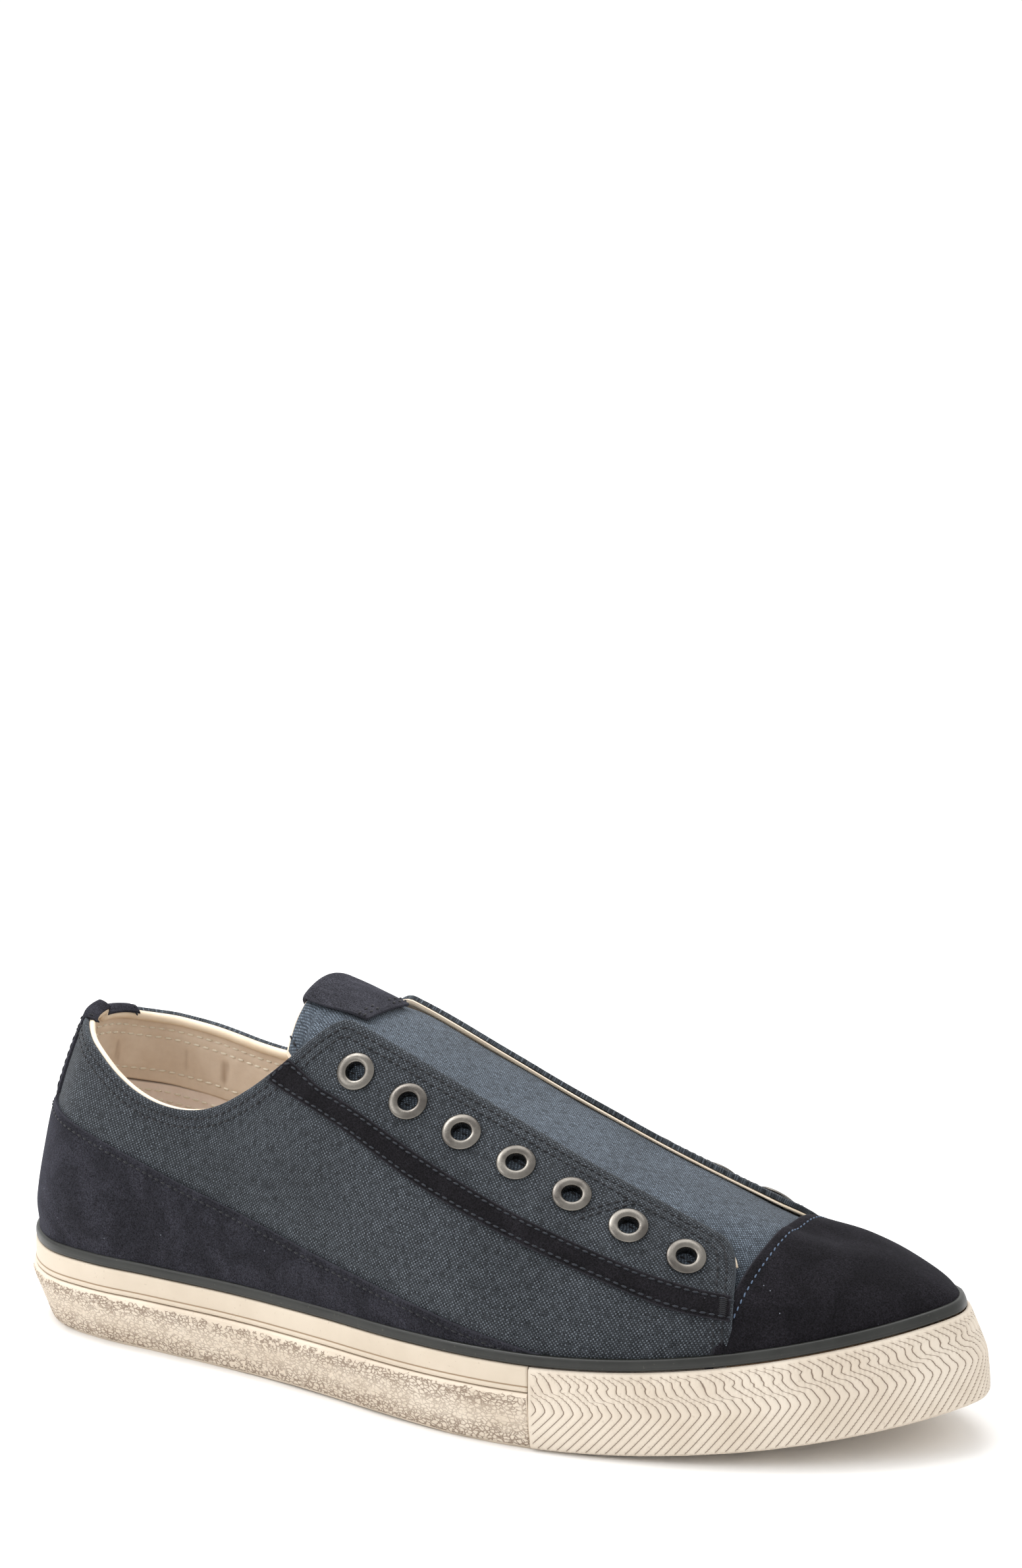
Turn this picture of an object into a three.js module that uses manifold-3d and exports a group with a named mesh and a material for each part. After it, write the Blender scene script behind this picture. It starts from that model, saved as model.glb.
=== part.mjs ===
// A slip-on canvas sneaker for the right foot, as an assembly of its separate pieces.
// Millimetres. X runs from heel to toe, Y to the wearer's left, Z up from the floor.
import * as THREE from "three";
import { mergeVertices } from "three/addons/utils/BufferGeometryUtils.js";
import Module from "manifold-3d";

const wasm = await Module();
wasm.setup();

// Last: the overall sizes that the shares in the tables below belong to
const shoeLength = 300;
const ballWidth = 105;
const instepHeight = 112;
const collarHeight = 95;
const toeSpring = 14;
const archRise = 0.5;
const gap = 0.3;

// Sole
const outsoleThickness = 8;
const widestHeight = 12;
const rimBandTop = 16.8;
const foxingTop = 24.4;
const pipingTop = 27.8;
const rimLip = 0.9;
const foxingThickness = 1.7;
const pipingThickness = 1.6;
const heelTaper = 5.2;
const ballTaper = 2.6;
const toeLean = 2.4;
const bumperStart = 0.64 * shoeLength;
const bumperFoot = 0.6;
const bumperTaper = 1.4;
const ribPitch = 2.65;
const ribDepth = 0.6;
const chevronRun = 7;
const chevronHeight = 12.5;
const treadDepth = 1.6;
const treadGroove = 3;
const treadPitch = 14;
const treadMargin = 8;
const treadPoint = 9;

// Upper
const upperWall = 1.8;
const wallStart = 22;
const quarterFront = 0.825 * shoeLength;
const quarterStep = 1.3;
const throatHalfWidth = 18.5;
const throatRear = 0.283 * shoeLength;
const frontCorner = 8;
const rearCorner = 8;
const notchHeight = 0.33 * instepHeight;
const capRear = 0.82 * shoeLength;
const capSweep = 6;
const capOverlap = 4;
const overlayThickness = 0.9;
const counterFront = 0.633 * shoeLength;
const bandRear = 0.323 * shoeLength;
const bandWidth = 5;
const heelStripWidth = 9;
const heelTabWidth = 30;
const heelTabDrop = 6;
const heelStripClearance = 1.2;

// Inside and trim
const insoleThickness = 4;
const insoleClearance = 0.4;
const insoleEdgeRise = 1.2;
const insoleEdgeWidth = 8;
const tongueThickness = 1.6;
const tongueClearance = 0.65;
const tongueRear = 0.3283 * shoeLength;
const tongueTopHeight = 0.97 * instepHeight;
const tongueTopFall = 0.27;
const tongueCrown = 24.5;
const tongueFlatness = 0.15;
const tongueSettle = 24;
const tabHalfWidth = 11;
const tabLength = 22;
const tabUnderLength = 12;
const tabThickness = 1.2;
const tabClearance = 0.45;
const eyeletCount = 7;
const firstEyelet = 0.4123 * shoeLength;
const lastEyelet = 0.7567 * shoeLength;
const eyeletEdgeDistance = 13;
const eyeletFlange = 5.6;
const eyeletHole = 2.7;
const eyeletBarrel = 3.3;
const eyeletHeight = 0.9;
const eyeletSides = 10;

// How finely the pieces are divided
const ringColumns = 32;
const ringCrowding = 0.06;
const wallRows = 6;

// The sole's widest line from above: shares of the shoe's length and of its ball width
const outline = [
  { along: 0.0, across: 0.03 },
  { along: 0.016, across: -0.135 },
  { along: 0.06, across: -0.262 },
  { along: 0.12, across: -0.314 },
  { along: 0.2, across: -0.333 },
  { along: 0.3, across: -0.362 },
  { along: 0.4, across: -0.415 },
  { along: 0.5, across: -0.478 },
  { along: 0.58, across: -0.503 },
  { along: 0.65, across: -0.495 },
  { along: 0.72, across: -0.46 },
  { along: 0.79, across: -0.4 },
  { along: 0.86, across: -0.312 },
  { along: 0.92, across: -0.2 },
  { along: 0.97, across: -0.065 },
  { along: 1.0, across: 0.085 },
  { along: 0.985, across: 0.235 },
  { along: 0.94, across: 0.36 },
  { along: 0.88, across: 0.44 },
  { along: 0.8, across: 0.49 },
  { along: 0.71, across: 0.502 },
  { along: 0.62, across: 0.475 },
  { along: 0.52, across: 0.41 },
  { along: 0.42, across: 0.362 },
  { along: 0.32, across: 0.346 },
  { along: 0.22, across: 0.352 },
  { along: 0.13, across: 0.36 },
  { along: 0.06, across: 0.318 },
  { along: 0.016, across: 0.2 },
];

// Height of the last's ridge, as shares of the length and of the instep height.
// Behind the instep it is the height that the open walls lean towards.
const ridgeLine = [
  { along: 0.0, height: 1.17 },
  { along: 0.2, height: 1.17 },
  { along: 0.3, height: 1.125 },
  { along: 0.36, height: 1.045 },
  { along: 0.42, height: 0.965 },
  { along: 0.5, height: 0.855 },
  { along: 0.58, height: 0.75 },
  { along: 0.66, height: 0.655 },
  { along: 0.74, height: 0.57 },
  { along: 0.82, height: 0.495 },
  { along: 0.9, height: 0.44 },
  { along: 0.96, height: 0.405 },
  { along: 1.0, height: 0.37 },
];

// Top line of the collar, as shares of the length and of the collar height
const collarLine = [
  { along: 0.0, lateral: 0.99, medial: 0.99 },
  { along: 0.05, lateral: 0.988, medial: 0.988 },
  { along: 0.08, lateral: 0.975, medial: 0.925 },
  { along: 0.11, lateral: 0.925, medial: 0.9 },
  { along: 0.14, lateral: 0.868, medial: 0.88 },
  { along: 0.17, lateral: 0.822, medial: 0.858 },
  { along: 0.2, lateral: 0.796, medial: 0.838 },
  { along: 0.235, lateral: 0.793, medial: 0.825 },
  { along: 0.267, lateral: 0.818, medial: 0.835 },
  { along: 0.3, lateral: 0.878, medial: 0.885 },
  { along: 0.325, lateral: 0.94, medial: 0.945 },
  { along: 0.355, lateral: 1.03, medial: 1.03 },
  { along: 0.39, lateral: 1.16, medial: 1.16 },
  { along: 0.43, lateral: 1.4, medial: 1.4 },
];

// How full the wall's section is: 2 is an ellipse, more is nearer a box
const fullness = [
  { along: 0.0, lateral: 1.62, medial: 1.62 },
  { along: 0.1, lateral: 1.85, medial: 1.9 },
  { along: 0.2, lateral: 2.1, medial: 2.15 },
  { along: 0.4, lateral: 2.1, medial: 2.45 },
  { along: 0.5, lateral: 2.0, medial: 2.3 },
  { along: 0.6, lateral: 2.0, medial: 2.08 },
  { along: 0.7, lateral: 2.0, medial: 2.0 },
  { along: 0.85, lateral: 2.1, medial: 2.1 },
  { along: 1.0, lateral: 2.2, medial: 2.2 },
];

// Middle line of the last from above, as shares of the length and of the ball width
const middleLine = [
  { along: 0.0, across: 0.03 },
  { along: 0.4, across: 0.02 },
  { along: 0.7, across: 0.035 },
  { along: 1.0, across: 0.07 },
];

// Upper edge of the heel counter, as shares of the length and of the collar height
const counterLine = [
  { along: 0.0, height: 0.74 },
  { along: 0.1, height: 0.715 },
  { along: 0.227, height: 0.61 },
  { along: 0.32, height: 0.54 },
  { along: 0.39, height: 0.463 },
  { along: 0.455, height: 0.405 },
  { along: 0.53, height: 0.388 },
  { along: 0.6, height: 0.348 },
  { along: 0.66, height: 0.322 },
];

// The suede stripe below the eyelets, as shares of the length and of the collar height
const bandLine = [
  { along: 0.32, low: 0.925, high: 0.99, lowInner: 0.92, highInner: 0.98 },
  { along: 0.345, low: 0.893, high: 0.955, lowInner: 0.875, highInner: 0.935 },
  { along: 0.41, low: 0.817, high: 0.888, lowInner: 0.785, highInner: 0.853 },
  { along: 0.5, low: 0.697, high: 0.768, lowInner: 0.672, highInner: 0.742 },
  { along: 0.6, low: 0.59, high: 0.65, lowInner: 0.58, highInner: 0.64 },
  { along: 0.7, low: 0.492, high: 0.549, lowInner: 0.49, highInner: 0.547 },
  { along: 0.76, low: 0.437, high: 0.498, lowInner: 0.437, highInner: 0.498 },
  { along: 0.82, low: 0.405, high: 0.46, lowInner: 0.405, highInner: 0.46 },
];

// Half width of the tongue, as shares of the length and of the ball width
const tongueLine = [
  { along: 0.32, half: 0.21 },
  { along: 0.4, half: 0.275 },
  { along: 0.5, half: 0.295 },
  { along: 0.65, half: 0.29 },
  { along: 0.77, half: 0.27 },
  { along: 0.84, half: 0.23 },
];

// A smooth curve through a table's rows, read at a share of the shoe's length
function readTable(rows, column, along) {
  const last = rows.length - 1;
  let i = 0;
  while (i < last - 1 && along > rows[i + 1].along) i++;
  const slopeAt = (k) => {
    const a = rows[Math.max(k - 1, 0)];
    const b = rows[Math.min(k + 1, last)];
    return (b[column] - a[column]) / (b.along - a.along);
  };
  const span = rows[i + 1].along - rows[i].along;
  const t = Math.min(Math.max((along - rows[i].along) / span, 0), 1);
  const t2 = t * t;
  const t3 = t2 * t;
  return (
    (2 * t3 - 3 * t2 + 1) * rows[i][column] +
    (t3 - 2 * t2 + t) * span * slopeAt(i) +
    (3 * t2 - 2 * t3) * rows[i + 1][column] +
    (t3 - t2) * span * slopeAt(i + 1)
  );
}

const smoothStep = (t) => {
  const c = Math.min(Math.max(t, 0), 1);
  return c * c * (3 - 2 * c);
};

// The value where a test that starts false turns true, between two ends
function turningValue(from, to, reached) {
  let low = from;
  let high = to;
  for (let k = 0; k < 26; k++) {
    const mid = (low + high) / 2;
    if (reached(mid)) high = mid;
    else low = mid;
  }
  return low;
}

// Outline of the sole

const outlineCurve = new THREE.CatmullRomCurve3(
  outline.map((p) => new THREE.Vector3(p.along * shoeLength, p.across * ballWidth, 0)),
  true,
  "centripetal",
);
outlineCurve.arcLengthDivisions = 800;
const girth = outlineCurve.getLength();

// A point of the widest line, a share of the way round from the heel by the outer side, moved inwards
function soleEdge(turn, inset) {
  const at = turn - Math.floor(turn);
  const p = outlineCurve.getPointAt(at);
  const t = outlineCurve.getTangentAt(at);
  return new THREE.Vector2(p.x - t.y * inset, p.y + t.x * inset);
}

const toeTurn = turningValue(0.4, 0.6, (turn) => outlineCurve.getTangentAt(turn).x < 0);

// The share of the way round at which the edge passes a place along the shoe, on either side
function turnAt(x, side) {
  if (side < 0) return turningValue(0, toeTurn, (turn) => soleEdge(turn, 0).x > x);
  return turningValue(toeTurn, 1, (turn) => soleEdge(turn, 0).x < x);
}

// Places round the sole from the heel by the outer side to the toe and back, closer round the heel
// and toe. Each place on the inner side is straight across from one on the outer side, and there is
// a pair close together where the bumper starts and where the quarters end.
const ringTurns = (() => {
  const breaks = [bumperStart, quarterFront];
  const places = [];
  for (let i = 1; i < ringColumns; i++) {
    const share = i / ringColumns;
    places.push(soleEdge(toeTurn * (share - ringCrowding * Math.sin(2 * Math.PI * share)), 0).x);
  }
  const kept = places.filter((x) => breaks.every((b) => Math.abs(x - b) > 2));
  const pairs = breaks.flatMap((b) => [b - gap / 2, b + gap / 2]);
  const stations = [...kept, ...pairs].sort((a, b) => a - b);
  const outer = stations.map((x) => turnAt(x, -1));
  const inner = stations.map((x) => turnAt(x, 1)).reverse();
  return [0, ...outer, toeTurn, ...inner];
})();

// How far the toe spring lifts the sole, with its slope, and how far the arch lifts the tread
const springStart = 0.62 * shoeLength;
const springAt = (x) => toeSpring * Math.pow(Math.max(x - springStart, 0) / (shoeLength - springStart), 2);
const springSlope = (x) => (2 * springAt(x)) / Math.max(x - springStart, 1);
const archAt = (x) =>
  archRise * smoothStep((x / shoeLength - 0.28) / 0.08) * smoothStep((0.57 - x / shoeLength) / 0.08);
const middleAt = (x) => readTable(middleLine, "across", x / shoeLength) * ballWidth;

// A point of the sole's side, a height above its tread, moved inwards from the widest line.
// The side stays square to the tread where that springs up, and leans in round the toe.
function sidePoint(turn, inset, height) {
  const above = height - widestHeight;
  const share = soleEdge(turn, 0).x / shoeLength;
  const lean = toeLean * smoothStep((share - 0.72) / 0.24) * Math.max(above, 0);
  const edge = soleEdge(turn, inset + lean / (pipingTop - widestHeight));
  return new THREE.Vector3(edge.x - springSlope(edge.x) * above, edge.y, height + springAt(edge.x));
}

// How high a point lies above the tread's line, measured square to it
function heightOver(p) {
  const above = p.z - springAt(p.x) - widestHeight;
  return p.z - springAt(p.x + springSlope(p.x) * above);
}

// Shape of the last

const upperInset = rimLip + foxingThickness + gap;

// Where the columns of the wall lean to: their own place along the shoe, held back at heel and toe
function ridgePlace(x) {
  const soft = 0.045 * shoeLength;
  const heel = 0.185 * shoeLength;
  const toe = 0.79 * shoeLength;
  const fromHeel = heel + soft * Math.log(1 + Math.exp((x - heel) / soft));
  return toe - soft * Math.log(1 + Math.exp((toe - fromHeel) / soft));
}

// A column of the last: its foot on the sole, its ridge point, and how full its section is
function columnAt(turn) {
  const foot = sidePoint(turn, upperInset, wallStart);
  const ridgeX = ridgePlace(foot.x);
  const ridgeY = middleAt(ridgeX);
  const power = readTable(fullness, foot.y < ridgeY ? "lateral" : "medial", foot.x / shoeLength);
  return { foot, ridgeX, ridgeY, power };
}

// A point of the last's outside: a share of the way round, and an angle from the sole to the ridge
function lastPoint(turn, angle) {
  const { foot, ridgeX, ridgeY, power } = columnAt(turn);
  const reach = Math.pow(Math.max(Math.cos(angle), 0), 2 / power);
  const x = ridgeX + (foot.x - ridgeX) * reach;
  const y = ridgeY + (foot.y - ridgeY) * reach;
  const base = wallStart + springAt(x + springSlope(x) * (wallStart - widestHeight));
  const top = readTable(ridgeLine, "height", x / shoeLength) * instepHeight;
  return new THREE.Vector3(x, y, base + (top - base) * Math.pow(Math.max(Math.sin(angle), 0), 2 / power));
}

function lastNormal(turn, angle) {
  const step = 0.01;
  const low = Math.min(Math.max(angle - step, 2 * step), Math.PI / 2 - 3 * step);
  const up = lastPoint(turn, low + 2 * step).sub(lastPoint(turn, low));
  const along = lastPoint(turn + 0.002, low + step).sub(lastPoint(turn - 0.002, low + step));
  return along.cross(up).normalize();
}

function offsetPoint(turn, angle, offset) {
  return lastPoint(turn, angle).addScaledVector(lastNormal(turn, angle), offset);
}

// The first angle up a column at which a test of the point turns true
function angleWhere(turn, reached) {
  const steps = 90;
  const full = Math.PI / 2;
  let i = 1;
  while (i < steps && !reached(lastPoint(turn, (i / steps) * full))) i++;
  return turningValue(((i - 1) / steps) * full, (i / steps) * full, (a) => reached(lastPoint(turn, a)));
}
const angleAtHeight = (turn, height) => angleWhere(turn, (p) => p.z > height);
const angleAboveSole = (turn, height) => angleWhere(turn, (p) => heightOver(p) > height);
const aboveWelt = (turn) => angleAboveSole(turn, pipingTop + gap);

// The column and angle of the last's point over a place seen from above
function lastOver(x, y) {
  const side = y < middleAt(x) ? -1 : 1;
  const reachOf = (column) => Math.min((y - column.ridgeY) / (column.foot.y - column.ridgeY), 1);
  const placeOf = (column) => column.ridgeX + (column.foot.x - column.ridgeX) * Math.max(reachOf(column), 0);
  const turn =
    side < 0
      ? turningValue(0, toeTurn, (t) => placeOf(columnAt(t)) > x)
      : turningValue(toeTurn, 1, (t) => placeOf(columnAt(t)) < x);
  const column = columnAt(turn);
  return { turn, angle: Math.acos(Math.pow(Math.max(reachOf(column), 0), column.power / 2)) };
}

// Where the quarters end in front, and the toe cap's rear edge seen from above
const quarterEnds = [turnAt(quarterFront, -1), turnAt(quarterFront, 1)];
const inQuarter = (turn) => turn <= quarterEnds[0] || turn >= quarterEnds[1];
const capRearAt = (p) => capRear - capSweep * Math.pow((2 * (p.y - middleAt(p.x))) / ballWidth, 2);

// How far inside the opening a point of a column lies: positive where the upper is cut away
function openingDepth(p, turn) {
  if (!inQuarter(turn)) {
    return Math.min(capRearAt(p) + capOverlap - p.x, heightOver(p) - notchHeight);
  }
  const middle = middleAt(p.x);
  const side = p.y < middle ? "lateral" : "medial";
  const overCollar = p.z - readTable(collarLine, side, p.x / shoeLength) * collarHeight;
  const ahead = Math.max(soleEdge(turn, 0).x - (quarterFront - frontCorner), 0);
  const corner = frontCorner - Math.sqrt(Math.max(frontCorner ** 2 - ahead ** 2, 0));
  const behind = Math.max(throatRear - p.x, 0);
  const inThroat = throatHalfWidth + corner - Math.abs(p.y - middle) - behind;
  const mix = Math.max(rearCorner - Math.abs(overCollar - inThroat), 0) / rearCorner;
  return Math.max(overCollar, inThroat) + (mix * mix * rearCorner) / 4;
}
const edgeAngle = (turn) => angleWhere(turn, (p) => openingDepth(p, turn) > 0);

// The angle at a distance below a column's top edge
function angleBelowEdge(turn, distance) {
  const top = edgeAngle(turn);
  const edge = lastPoint(turn, top);
  return turningValue(top, 0, (a) => lastPoint(turn, a).distanceTo(edge) > distance);
}

// Solids from sections

function geometryFrom(points, triangles) {
  const geometry = new THREE.BufferGeometry();
  const flat = new Float32Array(points.length * 3);
  points.forEach((p, i) => flat.set([p.x, p.y, p.z], i * 3));
  geometry.setAttribute("position", new THREE.BufferAttribute(flat, 3));
  geometry.setIndex(triangles);
  return geometry;
}

// The triangles that join each section to the next
function skin(count, size, ring, wrapped) {
  const triangles = [];
  const spans = ring ? count : count - 1;
  const edges = wrapped ? size : size - 1;
  for (let i = 0; i < spans; i++) {
    const a = i * size;
    const b = ((i + 1) % count) * size;
    for (let j = 0; j < edges; j++) {
      const k = (j + 1) % size;
      triangles.push(a + j, b + j, b + k, a + j, b + k, a + k);
    }
  }
  return triangles;
}

// A solid through closed sections, in a ring or with both ends closed.
// A section lists its outer points and then the same number of inner points in reverse.
function loft(sections, ring) {
  const size = sections[0].length;
  const triangles = skin(sections.length, size, ring, true);
  const ends = ring ? [] : [0, (sections.length - 1) * size];
  for (const start of ends) {
    for (let j = 0; j < size / 2 - 1; j++) {
      const quad = [start + j, start + j + 1, start + size - 2 - j, start + size - 1 - j];
      const faces = [quad[0], quad[1], quad[2], quad[0], quad[2], quad[3]];
      triangles.push(...(start === 0 ? faces : faces.reverse()));
    }
  }
  return geometryFrom(sections.flat(), triangles);
}

// A solid through open sections in a ring, closed across the shoe below and above.
// The sections on the two sides lie straight across from each other.
function slab(sections) {
  const size = sections[0].length;
  const count = sections.length;
  const triangles = skin(count, size, true, false);
  for (const row of [0, size - 1]) {
    const at = (k) => ((k + count) % count) * size + row;
    for (let i = 0; i < count / 2 - 1; i++) {
      const faces = [at(i), at(i + 1), at(-i - 1)];
      if (i > 0) faces.push(at(i), at(-i - 1), at(-i));
      triangles.push(...(row === 0 ? faces.reverse() : faces));
    }
    const mid = count / 2;
    const last = [at(mid - 1), at(mid), at(mid + 1)];
    triangles.push(...(row === 0 ? last.reverse() : last));
  }
  return geometryFrom(sections.flat(), triangles);
}

function solidOf(geometry) {
  const bare = geometry.clone();
  bare.deleteAttribute("normal");
  bare.deleteAttribute("uv");
  const merged = mergeVertices(bare, 1e-3);
  return new wasm.Manifold(
    new wasm.Mesh({
      numProp: 3,
      vertProperties: new Float32Array(merged.attributes.position.array),
      triVerts: new Uint32Array(merged.index.array),
    }),
  );
}

function cutAway(geometry, cutters) {
  const mesh = cutters.reduce((solid, cutter) => solid.subtract(solidOf(cutter)), solidOf(geometry)).getMesh();
  const result = new THREE.BufferGeometry();
  result.setAttribute("position", new THREE.BufferAttribute(new Float32Array(mesh.vertProperties), 3));
  result.setIndex([...mesh.triVerts]);
  return result;
}

// Sole

const foxingInner = rimLip + foxingThickness;
const taperAt = (x) => heelTaper + (ballTaper - heelTaper) * smoothStep(x / (0.6 * shoeLength));

// The tread slab with the rough rim band, which stops at the slab's own height behind the bumper
function makeOutsoleBody() {
  const sections = ringTurns.map((turn) => {
    const x = soleEdge(turn, 0).x;
    const covered = x > bumperStart;
    const foot = covered ? foxingInner : taperAt(x);
    const rim = covered ? foxingInner : 0;
    const top = covered ? outsoleThickness : rimBandTop;
    const bevel = covered ? 0 : 0.6;
    return [
      sidePoint(turn, foot + 1, archAt(x)),
      sidePoint(turn, foot, archAt(x) + 1),
      sidePoint(turn, rim, top - 2),
      sidePoint(turn, rim, top - 0.7),
      sidePoint(turn, rim + bevel, top - 0.1),
      sidePoint(turn, foxingInner, top),
      sidePoint(turn, foxingInner + 0.2, outsoleThickness),
    ];
  });
  return slab(sections);
}

// A chevron groove across the tread, as a prism that reaches up into it
function treadCutter(x) {
  const depth = springAt(x) + archAt(x) + treadDepth;
  const reach = treadMargin + taperAt(x);
  const right = soleEdge(turnAt(x - treadPoint, -1), reach).y;
  const left = soleEdge(turnAt(x - treadPoint, 1), reach).y;
  const bend = (right + left) / 2;
  const shape = new THREE.Shape();
  shape.moveTo(x - treadPoint, right);
  shape.lineTo(x, bend);
  shape.lineTo(x - treadPoint, left);
  shape.lineTo(x - treadPoint - treadGroove, left);
  shape.lineTo(x - treadGroove, bend);
  shape.lineTo(x - treadPoint - treadGroove, right);
  const prism = new THREE.ExtrudeGeometry(shape, { depth: depth + 2, bevelEnabled: false });
  prism.translate(0, 0, -2);
  return prism;
}

function makeOutsole() {
  const cutters = [];
  for (let x = 30; x < shoeLength - 14; x += treadPitch) cutters.push(treadCutter(x));
  return cutAway(makeOutsoleBody(), cutters);
}

const sideSections = (turns, profile) =>
  turns.map((turn) => profile.map((p) => sidePoint(turn, p.inset, p.height)));

// The smooth band behind the bumper, from one of its ends round the heel to the other
function makeFoxing() {
  const low = rimBandTop + gap;
  const turns = ringTurns.filter((turn) => soleEdge(turn, 0).x < bumperStart);
  const start = turns.findIndex((turn) => turn > toeTurn);
  return loft(
    sideSections([...turns.slice(start), ...turns.slice(0, start)], [
      { inset: rimLip, height: low },
      { inset: rimLip - 0.1, height: foxingTop - 0.5 },
      { inset: rimLip + 0.5, height: foxingTop },
      { inset: foxingInner, height: foxingTop },
      { inset: foxingInner, height: (low + foxingTop) / 2 },
      { inset: foxingInner, height: low },
    ]),
    false,
  );
}

function makePiping() {
  const low = foxingTop + gap;
  const outer = foxingInner - pipingThickness;
  return loft(
    sideSections(ringTurns, [
      { inset: outer + 0.3, height: low },
      { inset: outer, height: (low + pipingTop) / 2 },
      { inset: outer + 0.5, height: pipingTop },
      { inset: foxingInner, height: pipingTop },
      { inset: foxingInner, height: (low + pipingTop) / 2 },
      { inset: foxingInner, height: low },
    ]),
    true,
  );
}

// The strip round the toe, whose ribs lean the same way above and below its widest line
function makeBumper() {
  const ends = [turnAt(bumperStart + gap, -1), turnAt(bumperStart + gap, 1)];
  const steps = 2 * Math.round(((ends[1] - ends[0]) * girth) / ribPitch);
  const sections = [];
  for (let i = 0; i <= steps; i++) {
    const turn = ends[0] + ((ends[1] - ends[0]) * i) / steps;
    const upright = Math.min(Math.min(i, steps - i) / 8, 1);
    const lean = (-chevronRun / girth) * upright;
    const groove = i % 2 === 0 ? 0 : ribDepth;
    sections.push([
      sidePoint(turn + lean, bumperTaper + groove, bumperFoot),
      sidePoint(turn, groove, chevronHeight),
      sidePoint(turn + lean, groove + 0.4, foxingTop),
      sidePoint(turn, foxingInner - gap, foxingTop),
      sidePoint(turn, foxingInner - gap, chevronHeight),
      sidePoint(turn, foxingInner - gap, bumperFoot),
    ]);
  }
  return loft(sections, false);
}

// Upper

// The wall, one section for each column. The quarters lie a step outside the toe's lining.
function makeUpperBody() {
  const sections = ringTurns.map((turn) => {
    const raised = inQuarter(turn) ? quarterStep : 0;
    const top = edgeAngle(turn);
    const low = aboveWelt(turn);
    const high = angleAboveSole(turn, pipingTop + gap + quarterStep);
    const outer = [sidePoint(turn, upperInset, outsoleThickness + gap), offsetPoint(turn, low, 0)];
    const inner = [
      sidePoint(turn, upperInset + upperWall, outsoleThickness + gap),
      offsetPoint(turn, low, -upperWall),
    ];
    for (let j = 0; j <= wallRows; j++) {
      const angle = high + (top - high) * (1 - Math.pow(1 - j / wallRows, 1.2));
      outer.push(offsetPoint(turn, angle, raised));
      inner.push(offsetPoint(turn, angle, raised - upperWall));
    }
    return [...outer, ...inner.reverse()];
  });
  return loft(sections, true);
}

// A patch laid on the last: columns between two places, rows between two angles
function makePatch(turns, lowAngle, highAngle, rows, base) {
  const sections = turns.map((turn) => {
    const low = lowAngle(turn);
    const high = highAngle(turn);
    const outer = [];
    const inner = [];
    for (let j = 0; j <= rows; j++) {
      const angle = low + ((high - low) * j) / rows;
      outer.push(offsetPoint(turn, angle, base + overlayThickness));
      inner.push(offsetPoint(turn, angle, base));
    }
    return [...outer, ...inner.reverse()];
  });
  return loft(sections, false);
}

const evenTurns = (from, to, count) =>
  Array.from({ length: count + 1 }, (_, i) => from + ((to - from) * i) / count);
const onQuarter = quarterStep + gap;

function makeToeCap() {
  const margin = 2 / girth;
  const turns = evenTurns(quarterEnds[0] + margin, quarterEnds[1] - margin, 22);
  return makePatch(turns, aboveWelt, (turn) => angleWhere(turn, (p) => p.x < capRearAt(p)), 5, gap);
}

function makeCounter() {
  const low = (turn) => angleAboveSole(turn, pipingTop + gap + quarterStep);
  const high = (turn) =>
    angleWhere(turn, (p) => p.z > readTable(counterLine, "height", p.x / shoeLength) * collarHeight);
  const ends = [turnAt(counterFront, 1) - 1, turnAt(counterFront, -1)];
  const laps = [...ringTurns.map((turn) => turn - 1), ...ringTurns];
  const turns = [ends[0], ...laps.filter((turn) => turn > ends[0] && turn < ends[1]), ends[1]];
  return makePatch(turns, low, high, 2, onQuarter);
}

// The stripe on one side, which stays below the eyelets
function makeSideBand(side) {
  const rear = turnAt(bandRear, side);
  const front = turnAt(quarterFront, side) + (side * 0.8) / girth;
  const ending = side < 0 ? "" : "Inner";
  const edge = (column, width, margin) => (turn) => {
    const x = soleEdge(turn, 0).x;
    const behind = smoothStep((x - bandRear) / (firstEyelet - eyeletEdgeDistance - bandRear));
    const ahead = smoothStep((quarterFront - x) / (0.04 * shoeLength));
    const drop = (eyeletEdgeDistance + eyeletFlange + 2 * gap + width) * behind * ahead;
    return Math.min(
      angleWhere(turn, (p) => p.z > readTable(bandLine, column + ending, p.x / shoeLength) * collarHeight),
      angleBelowEdge(turn, drop) - margin,
    );
  };
  const turns = side < 0 ? evenTurns(rear, front, 14) : evenTurns(front, rear, 14);
  return makePatch(turns, edge("low", bandWidth, 0.03), edge("high", 0, 0.005), 1, onQuarter);
}

// The share of the way round from the heel at which the collar is half a width away
const collarPoint = (turn) => lastPoint(turn, edgeAngle(turn));
const heelHalf = (width) =>
  turningValue(0, 0.1, (turn) => collarPoint(turn).distanceTo(collarPoint(0)) > width / 2);

function makeHeelStrip() {
  const half = heelHalf(heelStripWidth);
  const low = (turn) => angleAtHeight(turn, counterLine[0].height * collarHeight + 2 * gap);
  const high = (turn) => angleAtHeight(turn, collarPoint(turn).z - heelTabDrop - heelStripClearance);
  return makePatch(evenTurns(-half, half, 2), low, high, 3, onQuarter);
}

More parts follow.
